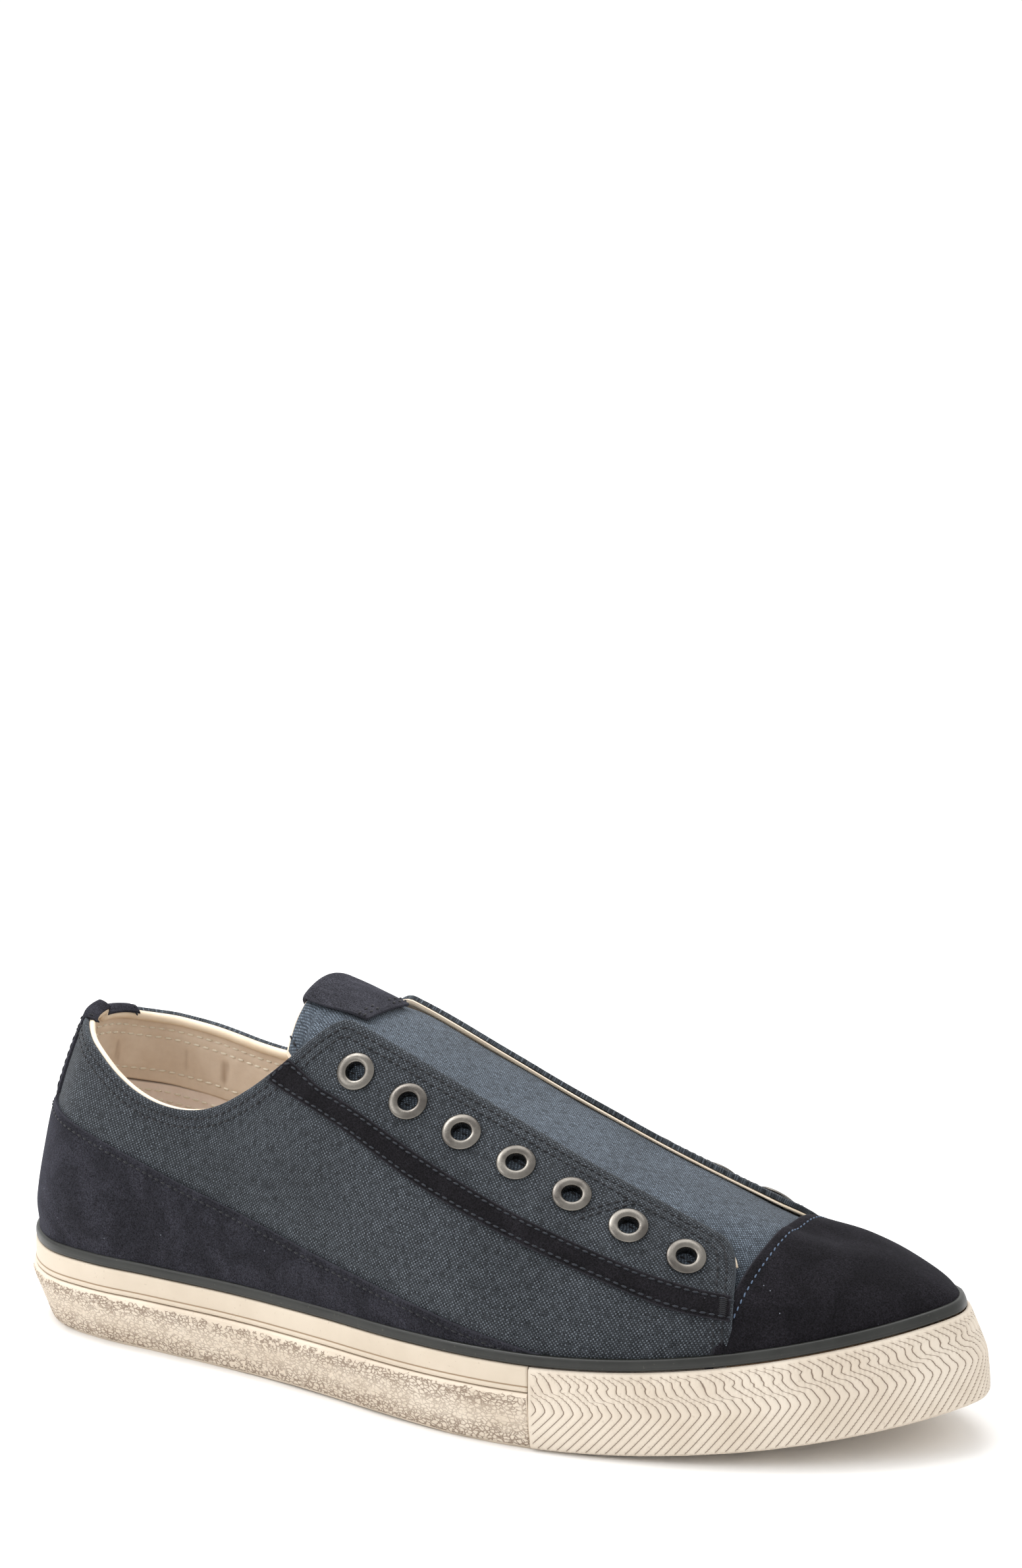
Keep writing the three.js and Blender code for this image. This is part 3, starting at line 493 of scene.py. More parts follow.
class Wires:
    # a short way to write nodes and the wires between them
    def __init__(self, tree):
        self.tree = tree

    def node(self, kind, inputs=None, **settings):
        node = self.tree.nodes.new(kind)
        for key, value in settings.items():
            setattr(node, key, value)
        for key, value in (inputs or {}).items():
            if isinstance(value, bpy.types.NodeSocket):
                self.tree.links.new(value, node.inputs[key])
            else:
                node.inputs[key].default_value = value
        row, column = divmod(len(self.tree.nodes), 12)
        node.location = (180 * column, -220 * row)
        return node

    def math(self, operation, a, b=0.0, clamp=False):
        return self.node("ShaderNodeMath", {0: a, 1: b}, operation=operation, use_clamp=clamp).outputs[0]

    def vector(self, operation, a, b=(0, 0, 0), scale=None):
        inputs = {0: a, 1: b} if scale is None else {0: a, "Scale": scale}
        return self.node("ShaderNodeVectorMath", inputs, operation=operation).outputs[0]

    def join(self, *wires):
        # links output to input pairs
        for source, target in wires:
            self.tree.links.new(source, target)

    def step(self, value, low, high, toLow=0.0, toHigh=1.0):
        inputs = {"Value": value, "From Min": low, "From Max": high, "To Min": toLow, "To Max": toHigh}
        return self.node("ShaderNodeMapRange", inputs, interpolation_type="SMOOTHSTEP").outputs[0]

    def noise(self, place, scale, detail, flat=False, **inputs):
        values = {"Vector": place, "Scale": scale, "Detail": detail, **inputs}
        return self.node("ShaderNodeTexNoise", values, noise_dimensions="2D" if flat else "3D").outputs

    def bent(self, noise, amount):
        # a noise's colour as a shift to either side
        return self.vector("SCALE", self.vector("SUBTRACT", noise["Color"], (0.5, 0.5, 0.5)), scale=amount)

    def mixColour(self, share, a, b, blend="MIX"):
        return self.node("ShaderNodeMix", {0: share, 6: a, 7: b}, data_type="RGBA", blend_type=blend).outputs[2]

    def named(self, name, kind="FLOAT"):
        # a value kept on the mesh, read in a geometry tree
        return self.node("GeometryNodeInputNamedAttribute", {"Name": name}, data_type=kind).outputs[0]

    def store(self, geometry, name, value):
        inputs = {"Geometry": geometry, "Name": name, "Value": value}
        return self.node("GeometryNodeStoreNamedAttribute", inputs, data_type="FLOAT", domain="POINT").outputs[0]


def startTree(name, kind, inputs, outputs=()):
    # a node tree with its named sockets: name, kind, value, least and most
    tree = bpy.data.node_groups.new(name, kind)
    if kind == "GeometryNodeTree":
        tree.is_modifier = True
        for way in ("OUTPUT", "INPUT"):
            tree.interface.new_socket(name="Geometry", in_out=way, socket_type="NodeSocketGeometry")
    for label, sort, *limits in inputs:
        socket = tree.interface.new_socket(name=label, in_out="INPUT", socket_type="NodeSocket" + sort)
        for key, value in zip(("default_value", "min_value", "max_value"), limits):
            setattr(socket, key, value)
    for label in outputs:
        tree.interface.new_socket(name=label, in_out="OUTPUT", socket_type="NodeSocketFloat")
    w = Wires(tree)
    return tree, w, w.node("NodeGroupInput").outputs


def endTree(w, geometry, material):
    # every geometry tree ends in real geometry with its material set
    real = w.node("GeometryNodeRealizeInstances", {"Geometry": geometry}).outputs[0]
    painted = w.node("GeometryNodeSetMaterial", {"Geometry": real, "Material": material}).outputs[0]
    w.join((painted, w.node("NodeGroupOutput").inputs[0]))


def applyTree(piece, tree, values):
    # runs a tree with its inputs set by their sockets' identifiers, and keeps the plain mesh
    modifier = piece.modifiers.new(tree.name, "NODES")
    modifier.node_group = tree
    for item in tree.interface.items_tree:
        if item.item_type == "SOCKET" and item.in_out == "INPUT" and item.name in values:
            modifier[item.identifier] = values[item.name]
    return settle(piece)


# Stitches along a path: threads a set pitch apart, laid along the path on the surface
def makeStitchTree():
    tree, w, inlet = startTree("stitchRow", "GeometryNodeTree", (
        ("Pitch", "Float", 0.0026, 0.0005, 0.02), ("Length", "Float", 0.0021, 0.0003, 0.02),
        ("Thickness", "Float", 0.0005, 0.0001, 0.004), ("Slant", "Float", 0.12, -1.5, 1.5),
        ("Unevenness", "Float", 0.08, 0.0, 1.0), ("Seed", "Int", 1), ("Thread", "Material")))
    curve = w.node("GeometryNodeMeshToCurve", {"Mesh": inlet["Geometry"]}).outputs[0]
    points = w.node("GeometryNodeResampleCurve", {"Curve": curve, "Length": inlet["Pitch"]}, mode="LENGTH")
    outward = w.named("outward", "FLOAT_VECTOR")
    tangent = w.node("GeometryNodeInputTangent").outputs[0]
    turned = w.node("FunctionNodeAlignRotationToVector", {"Vector": tangent}, axis="X").outputs[0]
    facing = w.node("FunctionNodeAlignRotationToVector", {"Rotation": turned, "Vector": outward},
                    axis="Z", pivot_axis="X").outputs[0]
    loose = w.node("FunctionNodeRandomValue", {"Seed": inlet["Seed"]}, data_type="FLOAT")
    wobble = w.math("MULTIPLY", w.math("SUBTRACT", loose.outputs[1], 0.5), inlet["Unevenness"])
    angle = w.node("ShaderNodeCombineXYZ", {"Z": w.math("ADD", inlet["Slant"], wobble)}).outputs[0]
    spin = w.node("FunctionNodeEulerToRotation", {0: angle}).outputs[0]
    rotated = w.node("FunctionNodeRotateRotation", {"Rotation": facing, "Rotate By": spin},
                     rotation_space="LOCAL").outputs[0]
    thread = w.node("GeometryNodeMeshUVSphere", {"Segments": 6, "Rings": 5, "Radius": 0.5}).outputs[0]
    longer = w.math("MULTIPLY", inlet["Length"], w.math("ADD", 1.0, wobble))
    size = w.node("ShaderNodeCombineXYZ", {"X": longer, "Y": inlet["Thickness"], "Z": inlet["Thickness"]})
    placed = w.node("GeometryNodeInstanceOnPoints", {"Points": points.outputs[0], "Instance": thread,
                                                     "Rotation": rotated, "Scale": size.outputs[0]}).outputs[0]
    endTree(w, placed, inlet["Thread"])
    return tree


def outwardMesh(name, points, edges, normals):
    # a mesh of points or edges that carries its outward directions
    mesh = bpy.data.meshes.new(name)
    mesh.from_pydata(toFrame(points).tolist(), edges, [])
    mesh.attributes.new("outward", "FLOAT_VECTOR", "POINT").data.foreach_set("vector", np.array(normals).ravel())
    return addObject(name, mesh)


def stitchPiece(name, paths, look, thread, slot, seed):
    # paths are pairs of points and outward directions, both in millimetres along the last
    points, edges, normals = [], [], []
    for path, outward in paths:
        start = len(points)
        points += list(path)
        normals += list(outward)
        edges += [(start + i, start + i + 1) for i in range(len(path) - 1)]
    piece = outwardMesh(name, np.array(points), edges, normals)
    applyTree(piece, stitchTree, {
        "Pitch": look["pitch"] / 1000, "Length": look["length"] / 1000, "Thickness": look["thickness"] / 1000,
        "Slant": look["slant"], "Unevenness": look["unevenness"], "Seed": seed, "Thread": thread,
    })
    return finishPiece(piece, thread, slot)


def surfaceOf(piece):
    mesh = piece.data
    return BVHTree.FromPolygons([v.co[:] for v in mesh.vertices], [p.vertices[:] for p in mesh.polygons])


def layOn(surface, path, lift):
    # drops a path onto a piece and returns its points with the outward directions there
    points, outward = [], []
    for p in toFrame(path):
        hit, normal, _, _ = surface.find_nearest(Vector(p))
        points.append(np.array(hit) * 1000 + origin + np.array(normal) * lift)
        outward.append(np.array(normal))
    outward = np.array(outward)
    smooth = outward.copy()
    for k in (1, 2, 3):
        smooth[k:] += outward[:-k]
        smooth[:-k] += outward[k:]
    return np.array(points), unit(smooth)


def layRows(piece, lines, lift, spacing=0.8):
    # rows of stitches laid a little above a piece
    surface = surfaceOf(piece)
    return [layOn(surface, evenly(line, spacing), lift) for line in lines]


# Finishes: shared effects as node groups, then one material for each finish
def makeWeaveGroup():
    # plain weave on the cloth map: which thread lies on top, how high it stands, how light it is
    tree, w, inlet = startTree("plainWeave", "ShaderNodeTree", (
        ("Cloth", "Vector"), ("Pitch", "Float", 0.00062), ("Turn", "Float", 0.0), ("Looseness", "Float", 0.25)),
        ("Warp", "Height", "Slub"))
    turned = w.node("ShaderNodeVectorRotate", {"Vector": inlet["Cloth"], "Angle": inlet["Turn"]},
                    rotation_type="Z_AXIS").outputs[0]
    counted = w.vector("SCALE", turned, scale=w.math("DIVIDE", 1.0, inlet["Pitch"]))
    shift = w.bent(w.noise(counted, 0.32, 2.0, True), inlet["Looseness"])
    x, y = w.node("ShaderNodeSeparateXYZ", {0: w.vector("ADD", counted, shift)}).outputs[:2]
    waveX, waveY = (w.math("SINE", w.math("MULTIPLY", wire, math.pi)) for wire in (x, y))
    both = w.math("MULTIPLY", waveX, waveY)
    warp = w.step(both, -0.22, 0.22)
    height = w.math("POWER", w.math("ABSOLUTE", both), 0.45)
    slubs = []
    for thread, along, wire, other in ((0, 1, x, y), (1, 0, y, x)):
        stretched = w.math("MULTIPLY", other, 0.16)
        drawn = w.node("ShaderNodeCombineXYZ", {thread: w.math("FLOOR", wire), along: stretched}).outputs[0]
        slubs.append(w.noise(drawn, 1.0, 2.0, True)[0])
    slub = w.node("ShaderNodeMix", {0: warp, 2: slubs[1], 3: slubs[0]}).outputs[0]
    outlet = w.node("NodeGroupOutput").inputs
    w.join((warp, outlet["Warp"]), (height, outlet["Height"]), (slub, outlet["Slub"]))
    return tree


def makeNapGroup():
    # short suede nap: fine fibres, brushed patches and a few lint specks
    tree, w, inlet = startTree("suedeNap", "ShaderNodeTree", (
        ("Place", "Vector"), ("Fibre", "Float", 0.00032), ("Patch", "Float", 0.014), ("Lint", "Float", 0.5)),
        ("Fibres", "Patches", "Lint"))
    fine = w.noise(inlet["Place"], w.math("DIVIDE", 1.0, inlet["Fibre"]), 3.0, Roughness=0.65, Distortion=0.6)
    broad = w.noise(inlet["Place"], w.math("DIVIDE", 1.0, inlet["Patch"]), 4.0, Roughness=0.6, Distortion=0.8)
    dots = w.node("ShaderNodeTexVoronoi", {"Vector": inlet["Place"], "Scale": 480.0, "Randomness": 1.0})
    chance = w.node("ShaderNodeSeparateColor", {0: dots.outputs["Color"]})
    most = w.math("SUBTRACT", 1.0, w.math("MULTIPLY", inlet["Lint"], 0.06))
    rare = w.math("GREATER_THAN", chance.outputs[0], most)
    speck = w.math("MULTIPLY", rare, w.step(dots.outputs["Distance"], 0.12, 0.04))
    outlet = w.node("NodeGroupOutput").inputs
    w.join((w.step(fine[0], 0.32, 0.7), outlet["Fibres"]), (w.step(broad[0], 0.3, 0.72), outlet["Patches"]),
           (speck, outlet["Lint"]))
    return tree


def makeGrainGroup():
    # leather and rubber skin: broad unevenness, fine pores and stray marks
    tree, w, inlet = startTree("skinGrain", "ShaderNodeTree", (
        ("Place", "Vector"), ("Pore", "Float", 0.0007), ("Cloud", "Float", 0.02), ("Marks", "Float", 0.3)),
        ("Pores", "Clouds", "Marks"))
    fine = w.math("DIVIDE", 1.0, inlet["Pore"])
    pores = w.node("ShaderNodeTexVoronoi", {"Vector": inlet["Place"], "Scale": fine}, feature="SMOOTH_F1")
    clouds = w.noise(inlet["Place"], w.math("DIVIDE", 1.0, inlet["Cloud"]), 5.0, Roughness=0.6)
    specks = w.noise(inlet["Place"], 900.0, 1.0)
    marks = w.math("MULTIPLY", w.step(specks[0], 0.7, 0.78), inlet["Marks"])
    outlet = w.node("NodeGroupOutput").inputs
    w.join((pores.outputs["Distance"], outlet["Pores"]), (w.step(clouds[0], 0.3, 0.7), outlet["Clouds"]),
           (marks, outlet["Marks"]))
    return tree


weaveGroup = makeWeaveGroup()
napGroup = makeNapGroup()
grainGroup = makeGrainGroup()


def linear(r, g, b):
    # a screen colour, 0 to 255, as the value a shader takes
    shares = (c / 255 for c in (r, g, b))
    return tuple(s / 12.92 if s <= 10 / 255 else ((s + 0.055) / 1.055) ** 2.4 for s in shares) + (1.0,)


shaderSockets = {"roughness": "Roughness", "metallic": "Metallic", "sheen": "Sheen Weight",
                 "specular": "Specular IOR Level", "sheenRoughness": "Sheen Roughness",
                 "sheenTint": "Sheen Tint", "coat": "Coat Weight", "coatRoughness": "Coat Roughness"}


def startMaterial(name, **sockets):
    material = bpy.data.materials.new(name)
    material.use_nodes = True
    shader = material.node_tree.nodes["Principled BSDF"]
    for key, value in sockets.items():
        shader.inputs[shaderSockets[key]].default_value = value
    return material, Wires(material.node_tree), shader


def useGroup(w, tree, **values):
    return w.node("ShaderNodeGroup", values, node_tree=tree).outputs


def addBump(w, shader, height, strength, distance):
    node = w.node("ShaderNodeBump", {"Height": height, "Strength": strength, "Distance": distance})
    w.join((node.outputs[0], shader.inputs["Normal"]))


def scaleColour(w, colour, factor):
    # a colour made lighter or darker by a value
    grey = w.node("ShaderNodeCombineColor", {0: factor, 1: factor, 2: factor}).outputs[0]
    return w.mixColour(1.0, colour, grey, "MULTIPLY")


def objectPlace(w):
    return w.node("ShaderNodeTexCoord").outputs["Object"]


def attribute(w, name):
    return w.node("ShaderNodeAttribute", attribute_name=name).outputs["Fac"]


def canvasMaterial(name, look):
    material, w, shader = startMaterial(name, roughness=0.95, sheen=look["sheen"], sheenRoughness=0.5,
                                        specular=0.2)
    cloth = w.node("ShaderNodeUVMap", uv_map="cloth").outputs[0]
    weave = useGroup(w, weaveGroup, Cloth=cloth, Pitch=look["pitch"] / 1000, Turn=look["turn"],
                     Looseness=look["looseness"])
    grain = useGroup(w, grainGroup, Place=objectPlace(w), Pore=0.0009, Cloud=0.03, Marks=0.2)
    share = w.node("ShaderNodeMath", {0: weave["Warp"], 1: look["warpShare"], 2: look["weftShare"]},
                   operation="MULTIPLY_ADD").outputs[0]
    share = w.math("MULTIPLY", share, w.step(weave["Slub"], 0.28, 0.7, 0.35, 1.25))
    colour = w.mixColour(share, linear(*look["dark"]), linear(*look["light"]))
    # painted shade darkens the colour in the weave's grooves, times an uneven cloudy tone
    shade = w.math("MULTIPLY", w.step(weave["Height"], 0.1, 0.85, look["groove"], 1.0),
                   w.step(grain["Clouds"], 0.0, 1.0, 0.88, 1.1))
    colour = scaleColour(w, colour, shade)
    worn = w.math("MULTIPLY", w.step(attribute(w, "fold"), 0.35, 1.0),
                  w.step(weave["Slub"], 0.4, 0.6, 0.1, look["wear"]))
    colour = w.mixColour(worn, colour, linear(*look["wornColour"]))
    w.join((colour, shader.inputs["Base Color"]))
    addBump(w, shader, weave["Height"], look["relief"], 0.0002)
    return material


def suedeMaterial(name, look):
    material, w, shader = startMaterial(name, roughness=1.0, sheen=look["sheen"], sheenRoughness=0.35,
                                        specular=0.15, sheenTint=linear(*look["sheenColour"]))
    nap = useGroup(w, napGroup, Place=objectPlace(w), Fibre=look["fibre"] / 1000, Patch=look["patch"] / 1000,
                   Lint=look["lint"])
    colour = w.mixColour(nap["Fibres"], linear(*look["dark"]), linear(*look["light"]))
    colour = scaleColour(w, colour, w.step(nap["Patches"], 0.0, 1.0, look["patchLow"], look["patchHigh"]))
    worn = w.math("MULTIPLY", w.step(attribute(w, "fold"), 0.5, 1.0), look["wear"])
    colour = w.mixColour(worn, colour, linear(*look["wornColour"]))
    colour = w.mixColour(w.math("MULTIPLY", nap["Lint"], 0.55), colour, linear(*look["lintColour"]))
    w.join((colour, shader.inputs["Base Color"]))
    addBump(w, shader, nap["Fibres"], look["relief"], 0.00018)
    return material


def skinMaterial(name, look):
    # smooth leather or rubber
    material, w, shader = startMaterial(name, specular=0.4, coat=look.get("coat", 0.0), coatRoughness=0.3)
    grain = useGroup(w, grainGroup, Place=objectPlace(w), Pore=look["pore"] / 1000, Cloud=look["cloud"] / 1000,
                     Marks=look["marks"])
    colour = w.mixColour(grain["Clouds"], linear(*look["low"]), linear(*look["high"]))
    # darker where the relief value is low: painted shade in the collar lining's creases, uneven tone on the
    # insole and tongue lining
    if "shadeAndTone" in look:
        low, high = look["shadeAndToneBetween"]
        shadeAndTone = w.math("MULTIPLY", w.step(attribute(w, "relief"), high, low), look["shadeAndToneShare"])
        colour = w.mixColour(shadeAndTone, colour, linear(*look["shadeAndTone"]))
    # dark lines in the rib grooves: painted shadow under each ridge
    if "ribs" in look:
        fromMiddle = w.math("ABSOLUTE", w.math("SUBTRACT", w.math("FRACT", attribute(w, "ribs")), 0.5))
        line = w.math("MULTIPLY", w.step(fromMiddle, 0.4, 0.48), w.step(attribute(w, "reach"), 0.2, 0.9))
        colour = w.mixColour(w.math("MULTIPLY", line, look["ribShadowShare"]), colour, linear(*look["ribs"]))
    if "crazing" in look:
        colour, cells = crazed(w, look, colour)
    # a line along the seam value: glue and ledge lines on the foxing, the mould line on the piping, and painted
    # shade in the crevice under the band's lower edge on the back lining
    if "seam" in look:
        line = w.math("MULTIPLY", w.step(attribute(w, "seam"), 0.4, 0.95), look["seamShare"])
        colour = w.mixColour(line, colour, linear(*look["seam"]))
    colour = w.mixColour(w.math("MULTIPLY", grain["Marks"], 0.6), colour, linear(*look["mark"]))
    rough = w.step(grain["Clouds"], 0.0, 1.0, look["roughLow"], look["roughHigh"])
    w.join((colour, shader.inputs["Base Color"]), (rough, shader.inputs["Roughness"]))
    height = grain["Pores"]
    if "crazing" in look:
        height = w.math("ADD", height, w.math("MULTIPLY", cells, 3.0))
    addBump(w, shader, height, look["relief"], 0.0001)
    return material


def crazed(w, look, colour):
    # a crinkled skin: small cells whose crevices take painted brown shade, coarser where its attribute is higher;
    # painted shade also darkens it where that attribute is high
    place = objectPlace(w)
    off = w.bent(w.noise(place, 700.0, 2.0), look["crazing"] * 1.1 / 1000)
    squashed = w.vector("MULTIPLY", w.vector("ADD", place, off), (0.85, 0.85, 1.35))
    cells = w.node("ShaderNodeTexVoronoi", {"Vector": squashed, "Scale": 1000 / look["crazing"]},
                   feature="DISTANCE_TO_EDGE")
    # painted shade: the crevices between the cells darken towards the crevice colour
    creviceShade = w.step(cells.outputs["Distance"], 0.2, 0.02)
    coarse = attribute(w, "coarse")
    share = w.math("MULTIPLY", w.step(w.noise(place, 420.0, 2.0)[0], 0.2, 0.5),
                   w.step(coarse, 0.05, 0.75, look["creviceShadeLow"], 1.0))
    line = w.math("MULTIPLY", creviceShade, share)
    # painted shade towards the rim's top and bottom edges, where the coarse value is high
    edgeShade = w.math("MULTIPLY", w.step(coarse, 0.45, 1.0), look["edgeShadeShare"])
    colour = w.mixColour(edgeShade, colour, linear(*look["edgeShadeColour"]))
    colour = w.mixColour(w.math("MULTIPLY", line, look["creviceShadeShare"]), colour, linear(*look["creviceShadeColour"]))
    return colour, w.math("SUBTRACT", 1.0, line)


def threadMaterial(name, colour):
    material, w, shader = startMaterial(name, specular=0.3, sheen=0.15)
    waves = {"Vector": objectPlace(w), "Scale": 1500.0, "Distortion": 4.0}
    twist = w.node("ShaderNodeTexWave", waves).outputs["Fac"]
    tint = w.mixColour(twist, tuple(c * 0.72 for c in linear(*colour)[:3]) + (1.0,), linear(*colour))
    rough = w.step(twist, 0.0, 1.0, 0.7, 0.9)
    w.join((tint, shader.inputs["Base Color"]), (rough, shader.inputs["Roughness"]))
    return material


def nickelMaterial(look):
    material, w, shader = startMaterial("nickel", metallic=1.0)
    place = objectPlace(w)
    brushed = w.noise(place, 1400.0, 4.0, Roughness=0.7)[0]
    cloudy = w.step(w.noise(place, 120.0, 3.0)[0], 0.35, 0.65)
    rough = w.step(brushed, 0.3, 0.7, look["roughLow"], look["roughHigh"])
    w.join((w.mixColour(cloudy, linear(*look["low"]), linear(*look["high"])), shader.inputs["Base Color"]),
           (rough, shader.inputs["Roughness"]))
    addBump(w, shader, brushed, look["relief"], 0.00003)
    return material


# groove, in both canvas looks, is the share of colour left in the weave's grooves as painted shade
canvasLook = {"pitch": 0.56, "turn": 0.1, "looseness": 0.22, "dark": (9, 10, 13), "light": (114, 121, 129),
              "warpShare": 0.4, "weftShare": 0.16, "groove": 0.12, "wear": 0.25, "wornColour": (100, 108, 116),
              "relief": 0.6, "sheen": 0.05}
tongueLook = {"pitch": 0.5, "turn": 1.5708, "looseness": 0.2, "dark": (16, 18, 24), "light": (126, 139, 153),
              "warpShare": 0.5, "weftShare": 0.22, "groove": 0.2, "wear": 0.2, "wornColour": (105, 114, 124),
              "relief": 0.5, "sheen": 0.08}
suedeLook = {"fibre": 0.42, "patch": 14.0, "lint": 0.5, "dark": (17, 16, 20), "light": (50, 50, 57),
             "patchLow": 0.75, "patchHigh": 1.3, "wear": 0.3, "wornColour": (72, 72, 79), "relief": 0.5,
             "sheen": 0.16, "sheenColour": (150, 150, 175), "lintColour": (150, 155, 165)}
capSuedeLook = dict(suedeLook, dark=(9, 8, 10), light=(33, 31, 36), sheen=0.06, lint=0.8)
bandSuedeLook = dict(suedeLook, dark=(9, 8, 10), light=(32, 30, 34), sheen=0.07)
tabLook = dict(suedeLook, dark=(26, 26, 30), light=(66, 66, 73), lint=0.2)
foxingLook = {"pore": 1.2, "cloud": 30.0, "marks": 0.5, "low": (193, 179, 160), "high": (204, 191, 173),
              "mark": (156, 138, 118), "seam": (132, 104, 70), "seamShare": 0.75, "roughLow": 0.42,
              "roughHigh": 0.55, "relief": 0.12}
# the rim's crevice colour and share are painted shade in the cells' crevices; its second, darker tone is painted
# shade near the top and bottom edges
rimLook = {"pore": 0.5, "cloud": 18.0, "marks": 0.2, "low": (202, 188, 170), "high": (216, 204, 188),
           "mark": (140, 118, 98), "crazing": 1.35, "creviceShadeLow": 0.5, "creviceShadeShare": 0.78,
           "creviceShadeColour": (110, 89, 72), "edgeShadeShare": 0.16, "edgeShadeColour": (184, 166, 146), "roughLow": 0.7,
           "roughHigh": 0.85, "relief": 0.6}
# the rib colour is painted shadow along the grooves under the ridges
bumperLook = {"pore": 0.6, "cloud": 22.0, "marks": 0.3, "low": (203, 190, 173), "high": (216, 205, 190),
              "mark": (140, 120, 100), "ribs": (96, 74, 60), "ribShadowShare": 0.8, "roughLow": 0.6,
              "roughHigh": 0.78, "relief": 0.2}
pipingLook = {"pore": 0.8, "cloud": 16.0, "marks": 0.3, "low": (24, 25, 22), "high": (39, 40, 37),
              "mark": (110, 106, 92), "roughLow": 0.36, "roughHigh": 0.5, "relief": 0.15, "coat": 0.05,
              "seam": (12, 12, 11), "seamShare": 0.8}
# the lining's brown follows the relief value: painted shade in the collar lining's creases and uneven tone
# elsewhere
liningLook = {"pore": 0.9, "cloud": 12.0, "marks": 0.1, "low": (218, 200, 179), "high": (233, 218, 199),
              "mark": (170, 140, 112), "shadeAndTone": (140, 108, 78), "shadeAndToneBetween": (0.08, 0.5), "shadeAndToneShare": 0.55,
              "roughLow": 0.5, "roughHigh": 0.66, "relief": 0.3}
# the back lining's seam colour is painted shade in the crevice under the band's lower edge
backLook = {"pore": 0.8, "cloud": 15.0, "marks": 0.15, "low": (238, 224, 213), "high": (247, 236, 227),
            "mark": (196, 168, 150), "seam": (60, 42, 32), "seamShare": 0.9, "roughLow": 0.7,
            "roughHigh": 0.85, "relief": 0.4}
rollLook = {"pore": 0.9, "cloud": 10.0, "marks": 0.1, "low": (228, 208, 180), "high": (240, 224, 200),
            "mark": (190, 160, 130), "roughLow": 0.45, "roughHigh": 0.6, "relief": 0.25}
treadLook = {"pore": 0.8, "cloud": 25.0, "marks": 0.4, "low": (204, 190, 172), "high": (220, 207, 190),
             "mark": (140, 120, 100), "roughLow": 0.7, "roughHigh": 0.85, "relief": 0.4}
nickelLook = {"low": (86, 82, 78), "high": (118, 114, 108), "roughLow": 0.22, "roughHigh": 0.38, "relief": 0.25}

canvas = canvasMaterial("canvas", canvasLook)
tongueCanvas = canvasMaterial("tongueCanvas", tongueLook)
suede = suedeMaterial("suede", suedeLook)
tabSuede = suedeMaterial("tabSuede", tabLook)
capSuede = suedeMaterial("capSuede", capSuedeLook)
bandSuede = suedeMaterial("bandSuede", bandSuedeLook)
foxingRubber = skinMaterial("foxingRubber", foxingLook)
rimRubber = skinMaterial("rimRubber", rimLook)
bumperRubber = skinMaterial("bumperRubber", bumperLook)
pipingRubber = skinMaterial("pipingRubber", pipingLook)
liningLeather = skinMaterial("liningLeather", liningLook)
backLeather = skinMaterial("backLeather", backLook)
rollLeather = skinMaterial("rollLeather", rollLook)
treadRubber = skinMaterial("treadRubber", treadLook)
nickel = nickelMaterial(nickelLook)
darkThread = threadMaterial("darkThread", (24, 25, 30))
greyThread = threadMaterial("greyThread", (37, 41, 49))
blueThread = threadMaterial("blueThread", (84, 102, 126))
creamThread = threadMaterial("creamThread", (246, 236, 216))
print("stage: finishes made")


# Helpers for pieces that lie on the last
def evenAngles(turns, low, high, count, fine=110):
    # angles up each column with equal runs between them
    angles = low[:, None] + (high - low)[:, None] * np.linspace(0, 1, fine)
    p = lastPoint(turns[:, None], angles)
    steps = np.linalg.norm(np.diff(p, axis=1), axis=2)
    run = np.concatenate([np.zeros((len(turns), 1)), np.cumsum(steps, axis=1)], axis=1)
    share = np.linspace(0, 1, count)
    return np.stack([np.interp(share * r[-1], r, a) for r, a in zip(run, angles)])


def clothOver(points, start=0):
    # cloth coordinates: the run along each row from one column, and the run up each column
    across = np.cumsum(np.linalg.norm(np.diff(points, axis=0, prepend=points[:1]), axis=2), axis=0)
    return np.stack((across - across[start], runUp(points)), -1)


def borderOf(base, sides="lbrt"):
    # the border of a grid: left and right are its first and last columns, bottom and top its rows
    parts = {"l": base[0], "r": base[-1], "b": base[:, 0], "t": base[:, -1]}
    return np.vstack([evenly(parts[side], 0.4) for side in "lrbt" if side in sides])


def runUp(points):
    # the run up each column of a grid
    return np.cumsum(np.linalg.norm(np.diff(points, axis=1, prepend=points[:, :1]), axis=2), axis=1)


def flaredToWelt(points, turns, angles, inset, height, reach, fullness):
    # draws the low edge out to the piping and swells the toe above it
    welt = sidePoint(turns, inset, height)
    free = smoothStep((np.minimum(turns - quarterEnds[0], quarterEnds[1] - turns) * girth + 0.5) / 4)
    pull = (1 - smoothStep(runUp(points) / reach))[..., None]
    drawn = points + ((welt - points[:, 0]) * free[:, None])[:, None] * pull
    run = runUp(drawn)
    swell = fullness * (1 - np.exp(-run / 6.0)) * (1 - smoothStep((run - 22) / 26))
    share = smoothStep((soleEdge(turns)[0] - 248) / 40)
    return drawn + lastNormal(turns[:, None], angles) * (swell * share[:, None])[..., None]


